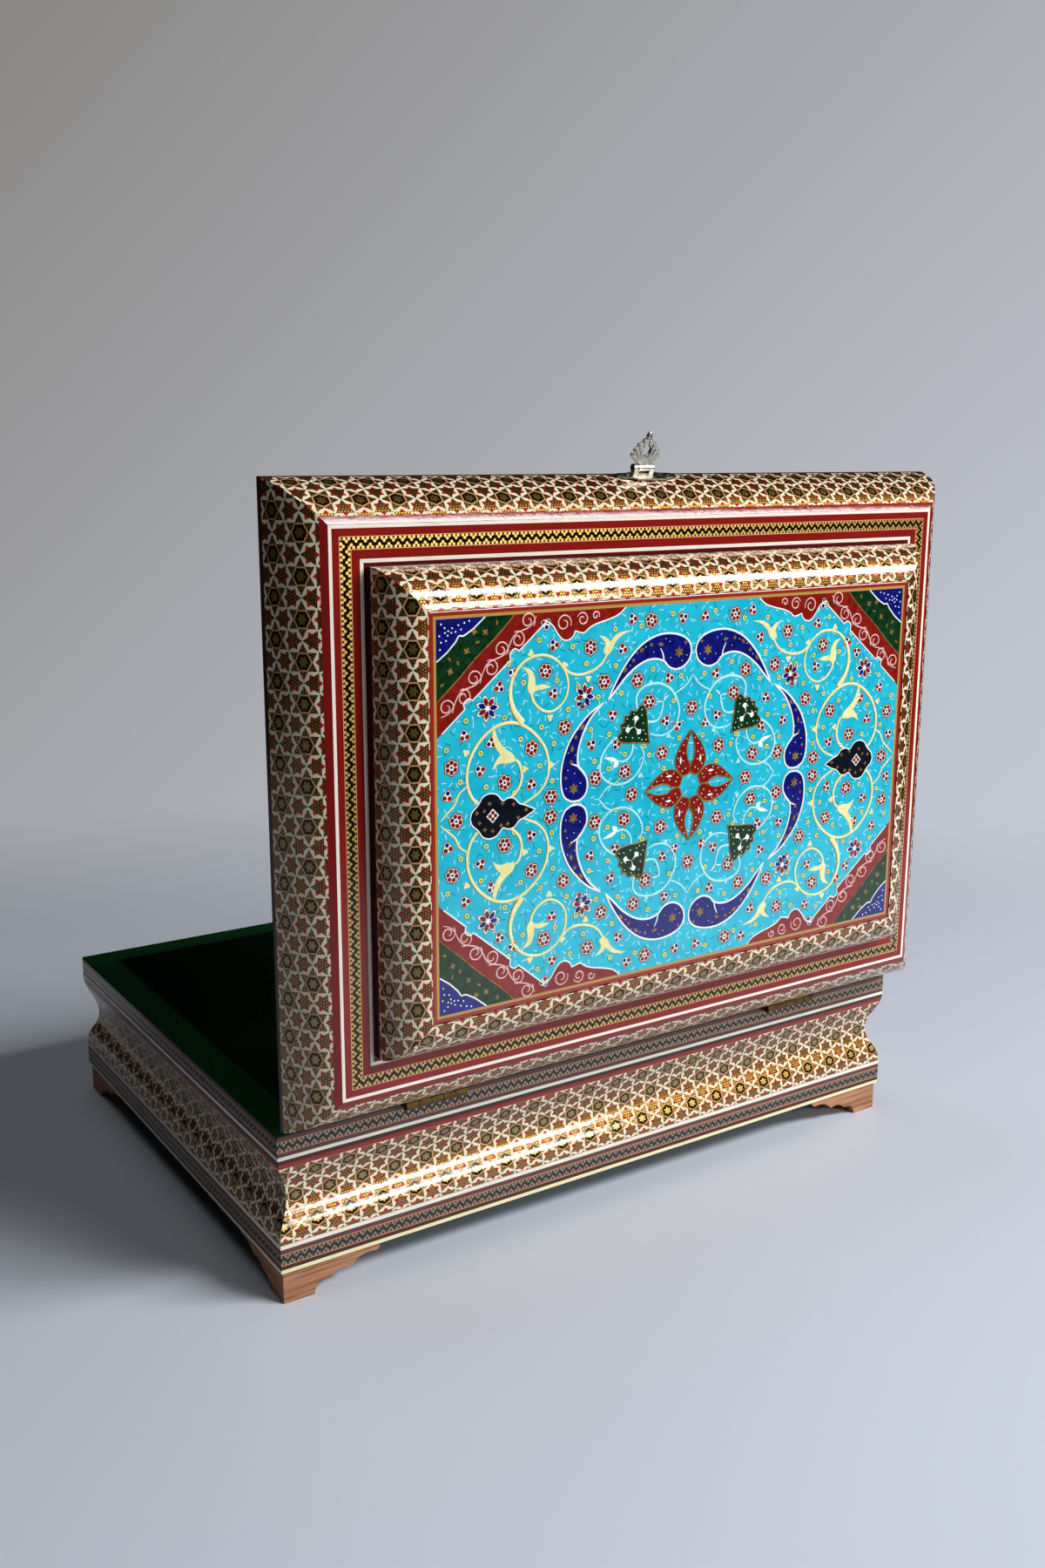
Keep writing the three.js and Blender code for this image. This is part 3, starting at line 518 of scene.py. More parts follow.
def pile_material(name, dark, light, sheen):
    """Short pile: tiny bright and dark tufts, and a soft bloom at grazing angles."""
    material, tree, shader = new_material(name, Roughness=0.95, Sheen_Weight=sheen, Sheen_Roughness=0.5)
    shader.inputs["Sheen Tint"].default_value = colour(light)
    shader.inputs["Specular IOR Level"].default_value = 0.1
    place = node(tree, "ShaderNodeTexCoord").outputs["Object"]
    tufts = node(tree, NOISE, place, named={"Scale": 1400, "Detail": 3, "Roughness": 0.7})
    tone = node(tree, RAMP, tufts.outputs["Fac"])
    set_stops(tone, [(0.3, dark), (0.72, light)])
    tree.links.new(tone.outputs["Color"], shader.inputs["Base Color"])
    nap = node(tree, BUMP, named={"Height": tufts.outputs["Fac"], "Strength": 0.5, "Distance": 0.0005})
    tree.links.new(nap.outputs["Normal"], shader.inputs["Normal"])
    return material


def metal_material(name, dark, light, roughness):
    """Thin stamped sheet with a worn polish."""
    material, tree, shader = new_material(name, Metallic=1.0, Roughness=roughness)
    place = node(tree, "ShaderNodeTexCoord").outputs["Object"]
    smears = node(tree, NOISE, place, named={"Scale": 500, "Detail": 5, "Roughness": 0.6})
    tone = node(tree, RAMP, smears.outputs["Fac"])
    set_stops(tone, [(0.3, dark), (0.65, light)])
    tree.links.new(tone.outputs["Color"], shader.inputs["Base Color"])
    wear = node(tree, "ShaderNodeMapRange", smears.outputs["Fac"], 0.3, 0.7, roughness * 0.7, roughness * 1.5)
    tree.links.new(wear.outputs[0], shader.inputs["Roughness"])
    dents = node(tree, BUMP, named={"Height": smears.outputs["Fac"], "Strength": 0.15, "Distance": 0.0002})
    tree.links.new(dents.outputs["Normal"], shader.inputs["Normal"])
    return material


def dress(names, material):
    """Gives CAD nodes that keep their shape a new material."""
    for name in names:
        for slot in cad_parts[name].material_slots:
            slot.material = material


def dress_cad_nodes():
    """Finishes for the CAD nodes that keep their shape."""
    # Stained feet show their grain as dark streaks, and the hidden boards are bare and matt
    foot_wood = wood_material("stained_open_grained_wood", "#7a4429", "#c08c66", along=40, across=900,
                              roughness=0.6)
    plywood = wood_material("sanded_plywood", "#9a744a", "#c29a6b", along=30, across=700, roughness=0.75)
    softwood = wood_material("raw_pine_ground", "#a8824f", "#d0a973", along=30, across=500, roughness=0.75)
    # The plated clasp glints, the hinges are dull with age, and the nail heads are a darker nickel
    nickel = metal_material("nickel_on_stamped_brass", "#8b8579", "#d9d4c8", roughness=0.28)
    dark_nickel = metal_material("dark_nickel_nail_heads", "#3b3630", "#7d766a", roughness=0.35)
    brass = metal_material("tarnished_hinge_brass", "#4a3820", "#7a6238", roughness=0.42)
    dress([f"foot_{front}_{side}" for front in ("front", "back") for side in ("left", "right")], foot_wood)
    dress(["bottom_board", "lid_board"], plywood)
    dress(["crown_ground"], softwood)
    dress(["catch_plate", "clasp_plate", "hasp_pin", "hasp"], nickel)
    dress(["catch_nail_left", "catch_nail_right", "clasp_nail_left", "clasp_nail_right"], dark_nickel)
    dress([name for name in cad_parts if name.startswith("hinge_")], brass)


# Painted panel. Its drawing is in millimetres from the panel's middle, x to the right and y up from outside.

PANEL_HALF = (104.9, 66.9)
GROUND_HALF = (102.3, 64.3)
PANEL_BOTTOM = 30.7
PAINT_GROUND = 33.4
PAINT_COAT = 0.02
STROKE_FLATNESS = 0.12
LINE_STEPS = 6


def smooth_line(points):
    """A rounded line through the points, as a brush takes it."""
    points = np.array(points, dtype=float)
    padded = np.vstack([2 * points[:1] - points[1:2], points, 2 * points[-1:] - points[-2:-1]])
    line = []
    for a, b, c, d in zip(padded, padded[1:], padded[2:], padded[3:]):
        for t in np.arange(LINE_STEPS) / LINE_STEPS:
            line.append((2 * b + (c - a) * t + (2 * a - 5 * b + 4 * c - d) * t ** 2
                         + (3 * b - a - 3 * c + d) * t ** 3) / 2)
    line.append(points[-1])
    return np.array(line)


def outline(*runs):
    """A closed outline of rounded runs that meet in sharp corners."""
    return np.vstack([smooth_line(run)[:-1] for run in runs])


def polar(middle, *places):
    """Points given as (degrees, reach) round a middle."""
    x, y = middle
    turns = [(math.radians(degrees), reach) for degrees, reach in places]
    return [(x + reach * math.cos(turn), y + reach * math.sin(turn)) for turn, reach in turns]


def turned_by(shape, degrees, place=(0, 0), size=1):
    """A shape turned about its origin, resized and set at its place."""
    c = math.cos(math.radians(degrees))
    s = math.sin(math.radians(degrees))
    return np.array(shape) @ np.array([[c, s], [-s, c]]) * size + place


def four_ways(*shapes):
    """The shapes mirrored into the panel's four quarters."""
    return [np.array(shape) * (x, y) for shape in shapes for x in (1, -1) for y in (1, -1)]


def mirrored_places(points):
    """Points mirrored into the panel's four quarters."""
    return [place[0] for place in four_ways(*[[point] for point in points])]


def blossom(middle, reach, petals, depth, turn=90):
    """A round-petalled flower."""
    angles = np.linspace(0, 2 * math.pi, petals * 5, endpoint=False)
    reaches = reach * (1 - depth / 2 + depth / 2 * np.cos(petals * angles))
    angles = angles + math.radians(turn)
    return np.stack([middle[0] + reaches * np.cos(angles), middle[1] + reaches * np.sin(angles)], axis=1)


def dot(middle, reach, sides):
    """A small round spot."""
    return np.array(polar(middle, *[(360 * i / sides, reach) for i in range(sides)]))


def spiral(middle, start, outer, inner, sweep, count):
    """A curl: from its outer end at the start angle, through the sweep in degrees, to its inner reach."""
    share = np.linspace(0, 1, count)
    reaches = outer + (inner - outer) * share ** 1.3
    angles = np.radians(start + sweep * share)
    return np.stack([middle[0] + reaches * np.cos(angles), middle[1] + reaches * np.sin(angles)], axis=1)


def brush(line, widest, start, end=0.15):
    """A stroke's line with its widths: thin at both ends, widest in between."""
    share = np.linspace(0, 1, len(line))
    body = np.sin(math.pi * share) ** 0.6
    ends = start + (end - start) * share
    return np.array(line), widest * (ends + (1 - ends) * body)


def new_drawing(name, dimensions):
    """A curve with nothing drawn on it yet."""
    bpy.ops.object.select_all(action="DESELECT")
    bpy.ops.curve.primitive_bezier_circle_add(location=(0, 0, 0))
    piece = bpy.context.object
    piece.name = name
    piece.data.splines.clear()
    piece.data.dimensions = dimensions
    return piece


def draw_line(curve, line, widths=None, closed=True):
    """Adds a line to a drawing."""
    spline = curve.splines.new("POLY")
    spline.points.add(len(line) - 1)
    places = np.zeros((len(line), 4))
    places[:, :2] = line
    places[:, 3] = 1
    spline.points.foreach_set("co", places.ravel())
    if widths is not None:
        spline.points.foreach_set("radius", widths)
    spline.use_cyclic_u = closed


def lay_on_panel(piece, level, material, flatness=1.0):
    """Makes a drawing a mesh and lays it on the panel, level millimetres above the painted ground."""
    bpy.ops.object.convert(target="MESH")
    height = (LID_UNDERSIDE_Y + PAINT_GROUND + level) * MM
    piece.matrix_world = Matrix((
        (-MM, 0, 0, 0),
        (0, 0, MM * flatness, height),
        (0, MM, 0, LID_MIDDLE_Z * MM),
        (0, 0, 0, 1),
    ))
    bpy.ops.object.transform_apply(location=True, rotation=True, scale=True)
    piece.data.materials.clear()
    piece.data.materials.append(material)
    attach(piece, "lid")


def paint_shapes(name, shapes, level, material):
    """Shapes filled with one colour."""
    piece = new_drawing(name, "2D")
    piece.data.fill_mode = "BOTH"
    piece.data.extrude = PAINT_COAT / 2
    for shape in shapes:
        draw_line(piece.data, shape)
    lay_on_panel(piece, level, material)


def paint_strokes(name, strokes, level, material, closed=False):
    """Brush strokes that stand up as low rounded ridges. A stroke is (line, widths)."""
    piece = new_drawing(name, "3D")
    piece.data.bevel_depth = 0.5
    piece.data.bevel_resolution = 1
    piece.data.use_fill_caps = True
    for line, widths in strokes:
        draw_line(piece.data, line, widths, closed)
    lay_on_panel(piece, level, material, STROKE_FLATNESS)
    bpy.ops.object.shade_smooth()


def edged(name, shapes, width, level, material):
    """Lines of one width round closed shapes."""
    paint_strokes(name, [(shape, np.full(len(shape), width)) for shape in shapes], level, material,
                  closed=True)


def panel_ground_material():
    """Turquoise gloss enamel broken by fine brush dashes, with a gold and a red line round its edge."""
    material, tree, shader = new_material(
        "turquoise_enamel", Roughness=0.32, Specular_IOR_Level=0.0, Coat_Weight=1.0, Coat_Roughness=0.04,
        Coat_IOR=1.5,
    )
    place = node(tree, "ShaderNodeTexCoord").outputs["Object"]
    drawing = node(tree, MAPPING, place, (0, -LID_MIDDLE_Z, 0), (-math.pi / 2, 0, 0), (1 / MM,) * 3,
                   vector_type="POINT")
    clouds = node(tree, NOISE, drawing, named={"Scale": 0.12, "Detail": 5, "Roughness": 0.6})
    enamel = node(tree, RAMP, clouds.outputs["Fac"])
    set_stops(enamel, [(0.3, "#16a8c4"), (0.7, "#2abcd4")])
    tone = enamel.outputs["Color"]

    cells = node(tree, VORONOI, drawing, voronoi_dimensions="2D", named={"Scale": 1 / 2.9, "Randomness": 1.0})
    chance = node(tree, "ShaderNodeSeparateColor", cells.outputs["Color"])
    turn = node(tree, MATH, chance.outputs[0], 2 * math.pi, operation="MULTIPLY")
    from_middle = node(tree, VECTOR, drawing, cells.outputs["Position"], operation="SUBTRACT")
    stroke = node(tree, "ShaderNodeVectorRotate", from_middle, rotation_type="Z_AXIS",
                  named={"Angle": turn.outputs[0]})
    stroke_place = node(tree, "ShaderNodeSeparateXYZ", node(tree, VECTOR, stroke, operation="ABSOLUTE"))
    broken = node(tree, MATH, stroke_place.outputs["X"], 0.3, operation="PINGPONG")
    for code, low, high, half_length, half_width, longest_mark in (
        ("#d4f4f2", -1.0, 0.6, 0.95, 0.15, 0.19),
        ("#12727c", 0.64, 0.82, 1.2, 0.15, 1.0),
    ):
        chosen = between(tree, chance.outputs[1], low, high)
        short = node(tree, MATH, stroke_place.outputs["X"], half_length, operation="LESS_THAN")
        thin = node(tree, MATH, stroke_place.outputs["Y"], half_width, operation="LESS_THAN")
        mark = node(tree, MATH, broken, longest_mark, operation="LESS_THAN")
        stroke_mask = node(tree, MATH, node(tree, MATH, short, thin, operation="MULTIPLY"), mark,
                           operation="MULTIPLY")
        mask = node(tree, MATH, stroke_mask, chosen, operation="MULTIPLY")
        tone = node(tree, MIX, mask, tone, colour(code), data_type="RGBA")

    beyond = node(tree, VECTOR, node(tree, VECTOR, drawing, operation="ABSOLUTE"), (*GROUND_HALF, 0),
                  operation="SUBTRACT")
    sides = node(tree, "ShaderNodeSeparateXYZ", beyond)
    edge = node(tree, MATH, sides.outputs["X"], sides.outputs["Y"], operation="MAXIMUM")
    for code, reach in (("#b08a48", 0), ("#8e2a1c", 1.0)):
        outside = node(tree, MATH, edge, reach, operation="GREATER_THAN")
        tone = node(tree, MIX, outside, tone, colour(code), data_type="RGBA")
    lacquer(tree, shader, tone, None, PAINT_UNEVENNESS)
    return material


def paint_material(name, dark, light, metallic=0.0):
    """Gloss enamel laid on with a fine brush: slightly uneven colour under the panel's clear lacquer."""
    material, tree, shader = new_material(
        name, Metallic=metallic, Roughness=0.35, Specular_IOR_Level=0.0, Coat_Weight=1.0, Coat_Roughness=0.05,
        Coat_IOR=1.5,
    )
    place = node(tree, "ShaderNodeTexCoord").outputs["Object"]
    brushed = node(tree, NOISE, place, named={"Scale": 420, "Detail": 3, "Roughness": 0.6})
    tone = node(tree, RAMP, brushed.outputs["Fac"])
    set_stops(tone, [(0.3, dark), (0.7, light)])
    lacquer(tree, shader, tone, None, PAINT_UNEVENNESS)
    return material


def panel_board():
    """The painted board, a little below the frame's top so that the paint has its thickness."""
    bpy.ops.object.select_all(action="DESELECT")
    middle = (PANEL_BOTTOM + PAINT_GROUND) / 2
    bpy.ops.mesh.primitive_cube_add(
        size=1,
        location=(0, (LID_UNDERSIDE_Y + middle) * MM, LID_MIDDLE_Z * MM),
        scale=(2 * PANEL_HALF[0] * MM, (PAINT_GROUND - PANEL_BOTTOM) * MM, 2 * PANEL_HALF[1] * MM),
    )
    board = bpy.context.object
    board.name = "panel_board"
    bpy.ops.object.transform_apply(location=True, rotation=True, scale=True)
    bpy.ops.object.mode_set(mode="EDIT")
    bpy.ops.mesh.select_all(action="SELECT")
    bpy.ops.mesh.bevel(offset=0.4 * MM, segments=2, affect="EDGES")
    bpy.ops.object.mode_set(mode="OBJECT")
    bpy.ops.object.shade_smooth_by_angle(angle=math.radians(10))
    board.data.materials.append(panel_ground_material())
    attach(board, "lid")
    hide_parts("painted_panel")


def middle_flower(paints):
    """Four petals of two curved leaves each, round an open eye."""
    outer = [(20, 0), (17.8, 2.2), (15, 4.6), (12, 6.2), (9.2, 6.8), (6.8, 6.2), (4.8, 4.5), (3.6, 3)]
    inner = [(3.6, 3), (4.8, 0.3), (8, 0.3), (9.6, 1.3), (12.4, 1.9), (15.6, 1.4), (20, 0)]
    leaf = outline(outer, inner)
    leaves = [turned_by(shape, turn) for shape in (leaf, leaf * (1, -1)) for turn in (0, 90, 180, 270)]
    paint_shapes("flower_leaves", leaves, 0.05, paints["red"])
    edged("flower_edges", leaves, 0.55, 0.07, paints["gold"])
    spots = [(17.0, 1.9), (14.8, 3.2), (12.8, 4.9), (12.0, 3.2), (10.4, 5.6), (9.2, 3.2), (7.4, 5.2),
             (6.4, 2.2), (5.6, 3.6)]
    dots = [dot((x, y * side), 0.24, 6) for x, y in spots for side in (1, -1)]
    dots += [dot((9.6 + 1.1 * i, 0), 0.22, 6) for i in range(6)]
    dots += [dot(polar((0, 0), (60 * i, 1.3))[0], 0.27, 6) for i in range(6)]
    sprig = outline([(8.0, 4.4), (9.4, 4.9), (11.0, 4.4)], [(11.0, 4.4), (9.4, 4.0), (8.0, 4.4)])
    placed = [turned_by(shape, turn) for shape in dots for turn in (0, 90, 180, 270)]
    paint_shapes("flower_dots", placed, 0.09, paints["white"])
    sprigs = [turned_by(sprig * (1, side), turn) for side in (1, -1) for turn in (0, 90, 180, 270)]
    paint_shapes("flower_sprigs", sprigs, 0.11, paints["white"])


def navy_ring(paints):
    """Eight navy paisleys in a ring. Their round ends meet in pairs on the panel's axes."""
    level_outer = [(36.4, 33.6), (34.0, 38.2), (30.0, 44.2), (25.8, 48.8), (20.8, 52.3), (15.0, 54.2),
                   (9.2, 54.2), (4.4, 52.8), (1.8, 50.6), (0.9, 47.8)]
    level_inner = [(0.9, 47.8), (1.8, 44.9), (4.3, 42.6), (7.5, 41.8), (10.7, 42.8), (12.9, 44.9),
                   (16.7, 46.0), (20.8, 45.6), (25.0, 43.8), (29.2, 40.8), (32.6, 37.4), (36.4, 33.6)]
    upright_outer = [(38.4, 32.8), (43.3, 30.2), (47.5, 26.7), (51.7, 21.7), (54.4, 15.8), (55.4, 10.8),
                     (55.2, 5.8), (53.8, 2.4), (51.2, 0.7)]
    upright_inner = [(51.2, 0.7), (48.0, 0.7), (45.6, 2.2), (44.6, 4.8), (44.8, 7.6), (46.4, 10.2),
                     (48.4, 12.6), (48.6, 16.7), (47.6, 20.8), (45.7, 25.0), (43.0, 28.8), (38.4, 32.8)]
    shapes = four_ways(outline(level_outer, level_inner), outline(upright_outer, upright_inner))
    paint_shapes("ring_paisleys", shapes, 0.06, paints["navy"])
    edged("ring_edges", shapes, 0.75, 0.08, paints["white"])
    hooks = [smooth_line([(14.6, 49.6), (13.5, 47.4), (12.8, 44.9), (11.2, 43.1)]),
             smooth_line([(51.4, 13.6), (49.4, 12.9), (47.6, 11.8), (45.6, 9.6)])]
    paint_strokes("ring_hooks", [brush(line, 0.62, 0.2, 0.8) for line in four_ways(*hooks)], 0.1,
                  paints["white"])
    flecks = [blossom((6.4, 47.6), 1.9, 6, 0.5), blossom((50.2, 5.0), 1.9, 6, 0.5),
              blossom((3.6, 50.8), 0.7, 4, 0.5), blossom((53.4, 9.0), 0.7, 4, 0.5)]
    leaf = outline([(-1.3, 0), (0, 0.6), (1.3, 0)], [(1.3, 0), (0, -0.6), (-1.3, 0)])
    for place, degrees in (((14.4, 50.8), 10), ((22.6, 49.4), -35), ((29.4, 43.2), -50), ((50.9, 18.6), 100),
                           ((51.2, 14.0), 60), ((46.8, 25.6), 130)):
        flecks.append(turned_by(leaf, degrees, place=place))
    flecks += [blossom(place, 0.8, 4, 0.5) for place in ((18.6, 51.0), (26.0, 46.2), (49.4, 22.4))]
    paint_shapes("ring_flecks", four_ways(*flecks), 0.1, paints["gold"])
    speck_places = [(10.6, 51.6), (12.4, 52.6), (10.0, 46.0), (17.4, 48.4), (20.8, 50.4), (24.6, 48.6),
                    (27.4, 44.6), (5.0, 44.6), (3.0, 46.4), (53.2, 5.4), (47.4, 6.6), (52.6, 11.6),
                    (49.8, 10.2), (52.4, 17.4), (49.4, 16.4), (48.4, 25.0)]
    specks = [dot(place, 0.2, 5) for place in speck_places]
    paint_shapes("ring_specks", four_ways(*specks), 0.1, paints["white"])


def split_leaf(root, tips, bulge):
    """A leaf of two pointed lobes on one root, each lobe swelling to one side of its middle line."""
    root = np.array(root)
    tips = np.array(tips, dtype=float)
    fork = 0.62 * root + 0.38 * tips.mean(axis=0)
    runs = []
    for tip, side in zip(tips, (1, -1)):
        way = tip - root
        across = np.array([-way[1], way[0]]) / np.linalg.norm(way) * side
        outside = root + 0.4 * way + across * bulge
        runs.append((outside, tip, fork + 0.35 * (tip - fork) - across * bulge * 0.2))
    (first, first_tip, first_back), (second, second_tip, second_back) = runs
    return outline([root, first, first_tip], [first_tip, first_back, fork], [fork, second_back, second_tip],
                   [second_tip, second, root])


def pale_scrolls(paints):
    """Pale curls inside the ring, held by a pointed line."""
    upper = smooth_line([(12.9, 30.8), (13.3, 28.3), (15, 25), (18.8, 24.6), (23, 27.6), (24.6, 33.2),
                         (21.7, 36.7), (15, 37.5), (9.2, 34.6), (5.8, 28.3), (7.1, 22.5), (10.8, 19.7),
                         (15, 19.4), (18.3, 20.4)])
    side = smooth_line([(32.5, 12.5), (29.2, 12), (26.3, 14.2), (25.8, 18), (28.5, 20.8), (32.5, 20.4),
                        (36.7, 17.6), (39.2, 13.3), (38.8, 8.3), (34.2, 4.6), (27.5, 4.6), (22.7, 8.2),
                        (20.8, 13.3), (22.5, 16.7)])
    links = [smooth_line([(7.9, 33.3), (3.8, 35.4), (1.7, 37.2), (0.1, 39.4)]),
             smooth_line([(34.2, 4.6), (36.7, 3.3), (38.3, 1.6), (39.7, 0.1)])]
    strokes = [brush(line, 1.0, 0.7, 0.5) for line in four_ways(upper, side)]
    strokes += [brush(line, 0.75, 0.8, 0.5) for line in four_ways(*links)]
    paint_strokes("pale_curls", strokes, 0.04, paints["pale"])
    leaves = [split_leaf((12.9, 30.3), [(16.4, 31.2), (10.2, 33.4)], 0.8),
              split_leaf((31.6, 12.2), [(38.0, 14.2), (33.8, 10.0)], 0.9)]
    paint_shapes("pale_leaves", four_ways(*leaves), 0.06, paints["white"])
    knobs = [blossom(place, 1.0, 3, 0.4) for place in ((18.3, 38.1), (10.2, 18.9), (22.2, 6.2), (39.8, 11.2))]
    paint_shapes("pale_knobs", four_ways(*knobs), 0.06, paints["pale"])


def cream_scrolls(paints):
    """Cream-yellow scrolls that fill the panel's ends."""
    big = smooth_line([(73.2, 17.4), (71.7, 15.8), (70.8, 11.7), (72.1, 7.9), (75.8, 4.8), (81.6, 3),
                       (87.5, 4.6), (90.6, 8.4), (91.7, 13.6), (90.5, 19.4), (86.7, 25), (81.4, 28.7),
                       (76, 29.8), (70.8, 28.6), (65.8, 25.2), (61.8, 20.2), (60.3, 14.6), (61, 9.6),
                       (64.2, 5.4), (70, 2.5)])
    small = smooth_line([(70.6, 29.2), (73.8, 33.4), (75.3, 38.3), (74.6, 43.4), (71.7, 47.7), (67.5, 50.1),
                         (62.5, 50.6), (57.9, 48.9), (54.4, 45.4), (52.8, 40.8), (53.5, 36.3), (56.3, 33.2),
                         (60, 31.9), (63.8, 33.2), (66.3, 35.8), (67.2, 38.4)])
    arm = smooth_line([(54.6, 46), (51.7, 43.8), (47.5, 43.1), (42.5, 44.2), (39.2, 46.3), (37.1, 49.2)])
    tip = smooth_line([(91.7, 10.8), (94.6, 8.6), (96.2, 5.4), (99.4, 2.6), (101.6, 0.5)])
    small_widths = np.interp(np.linspace(0, 1, len(small)), (0, 0.12, 0.3, 0.7, 1),
                             (2.7, 1.7, 1.05, 0.85, 1.1))
    strokes = [brush(big, 1.2, 0.9, 0.6), (small, small_widths), brush(arm, 1.05, 0.7, 0.7),
               brush(tip, 0.8, 0.8)]
    every_way = [(line * (x, y), widths) for line, widths in strokes for x in (1, -1) for y in (1, -1)]
    paint_strokes("cream_curls", every_way, 0.04, paints["cream"])
    leaves = [
        outline([(73, 17), (74.2, 19.4), (77.2, 21.6), (79.6, 24.4), (81.5, 29.4)],
                [(81.5, 29.4), (82, 26), (81, 22.6), (79, 19.8)],
                [(79, 19.8), (80.8, 17.8), (82.2, 15.2)],
                [(82.2, 15.2), (79.4, 16.8), (76.2, 16.6), (73, 17)]),
        outline([(67, 37.6), (68.6, 39.8), (68.4, 43), (68.6, 45), (70.6, 47.4)],
                [(70.6, 47.4), (67.6, 46.4), (66, 44), (65.6, 40.9)],
                [(65.6, 40.9), (62.6, 41.2), (59.4, 40.1)],
                [(59.4, 40.1), (62.8, 39.5), (65.6, 39.2), (67, 37.6)]),
        outline([(37, 48.6), (38.6, 50.2), (37.8, 52.2), (38.6, 53.8), (40.6, 55.6)],
                [(40.6, 55.6), (37.6, 54.8), (35.7, 53.2)],
                [(35.7, 53.2), (34, 55), (31, 56.2), (26.6, 56.4)],
                [(26.6, 56.4), (30.6, 55.2), (33.6, 53), (35, 50.4), (37, 48.6)]),
    ]
    paint_shapes("cream_leaves", four_ways(*leaves), 0.08, paints["cream"])
    knobs = [blossom(place, 1.35, 3, 0.45, turn) for place, turn in (
        ((67.4, 51.6), 90), ((91.9, 21.8), 160), ((44.6, 41.6), -90), ((59.8, 30), -90), ((59.2, 14.2), 180),
        ((69.6, 14), 180), ((54.2, 46.8), 60))]
    paint_shapes("cream_knobs", four_ways(*knobs), 0.08, paints["cream"])


def mirrored_outline(half):
    """A closed outline from its right half, whose ends lie on the middle line."""
    return outline(half, [(-x, y) for x, y in reversed(half)])


def lobed_leaves(paints):
    """Dark green leaves inside the ring, and near-black ones at the panel's ends."""
    fan = mirrored_outline([(0, -9.6), (2.0, -6.6), (4.4, -3.8), (6.4, -1.2), (7.6, 1.2), (6.8, 3.0),
                            (4.4, 3.0), (3.2, 4.8), (1.4, 4.4), (0, 5.8)])
    place = (25.2, 23.6)
    turn = -46
    greens = four_ways(turned_by(fan, turn, place=place))
    paint_shapes("green_leaves", greens, 0.09, paints["green"])
    edged("green_leaf_edges", greens, 0.5, 0.11, paints["gold"])
    arm = outline([(0, 0), (0.3, 1.8), (1.1, 3.0), (0, 3.9)], [(0, 3.9), (-1.1, 3.0), (-0.3, 1.8), (0, 0)])
    arms = [turned_by(turned_by(arm, degrees), turn, place=place) for degrees in (180, 62, -62)]
    paint_shapes("green_leaf_sprigs", four_ways(*arms), 0.12, paints["white"])
    spots = [(1.6, -4.4), (-1.6, -4.0), (3.2, -2.2), (-3.2, -2.2), (4.8, 0.2), (-4.8, 0.2), (1.4, 2.2),
             (-1.4, 2.2), (0, 4.2), (3.0, 3.2), (-3.0, 3.2), (0, -7.2), (6.2, 1.6), (-6.2, 1.6), (1.2, -5.8),
             (-1.2, -5.6)]
    dots = [turned_by(dot(spot, 0.24, 6), turn, place=place) for spot in spots]
    paint_shapes("green_leaf_dots", four_ways(*dots), 0.12, paints["white"])

    end_leaf = mirrored_outline([(0, -13.2), (1.9, -9.4), (2.9, -6.8), (4.8, -4.8), (5.2, -2.4), (4.6, -0.4),
                                 (6.8, 1.8), (7.5, 4.6), (6.6, 7.2), (4.2, 9.0), (2.2, 11.2), (0, 12.0)])
    ends = [turned_by(end_leaf, -90 * side, place=(78.6 * side, 0)) for side in (1, -1)]
    paint_shapes("black_leaves", ends, 0.13, paints["black"])
    edged("black_leaf_edges", ends, 0.5, 0.15, paints["white"])
    flecks = [(-9.5, 0.4), (-6.4, -1.8), (-4.6, 2.8), (3.4, -5.0), (4.6, 4.2), (8.4, -1.8), (0.2, -3.6),
              (-2.4, -3.4), (9.4, 1.6), (6.6, 2.0), (-0.4, 3.8), (6.4, -4.2)]
    marks = [blossom((78.6 + x, y), 0.8, 4, 0.6) for x, y in flecks]
    marks += [mark * (-1, 1) for mark in marks]
    paint_shapes("black_leaf_flecks", marks, 0.15, paints["gold"])
    squares = [np.array([(2.4, 0), (0, 2.4), (-2.4, 0), (0, -2.4)]) + (x, 0) for x in (82.0, -82.0)]
    paint_shapes("end_squares_white", squares, 0.16, paints["white"])
    petals = [dot((x + dx, dy), 0.72, 8) for x in (82.0, -82.0)
              for dx, dy in ((1.05, 0), (-1.05, 0), (0, 1.05), (0, -1.05))]
    paint_shapes("end_squares_red", petals, 0.18, paints["dark_red"])


def running_scroll(start, end, count, swing, curl):
    """A wavy line with a curl in each of its bends."""
    start = np.array(start, dtype=float)
    end = np.array(end, dtype=float)
    run = end - start
    length = np.linalg.norm(run)
    along = run / length
    across = np.array([-along[1], along[0]])
    share = np.linspace(0, 1, count * 10 + 1)
    wave = start + share[:, None] * run + (swing * np.sin(math.pi * count * share))[:, None] * across
    lines = [wave]
    heading = math.degrees(math.atan2(along[1], along[0]))
    for i in range(count):
        side = 1 if i % 2 == 0 else -1
        middle = start + (i + 0.5) / count * run - side * (curl * 0.35) * across
        lines.append(spiral(middle, heading + side * 80, curl, curl * 0.25, -side * 480, 22))
    return lines


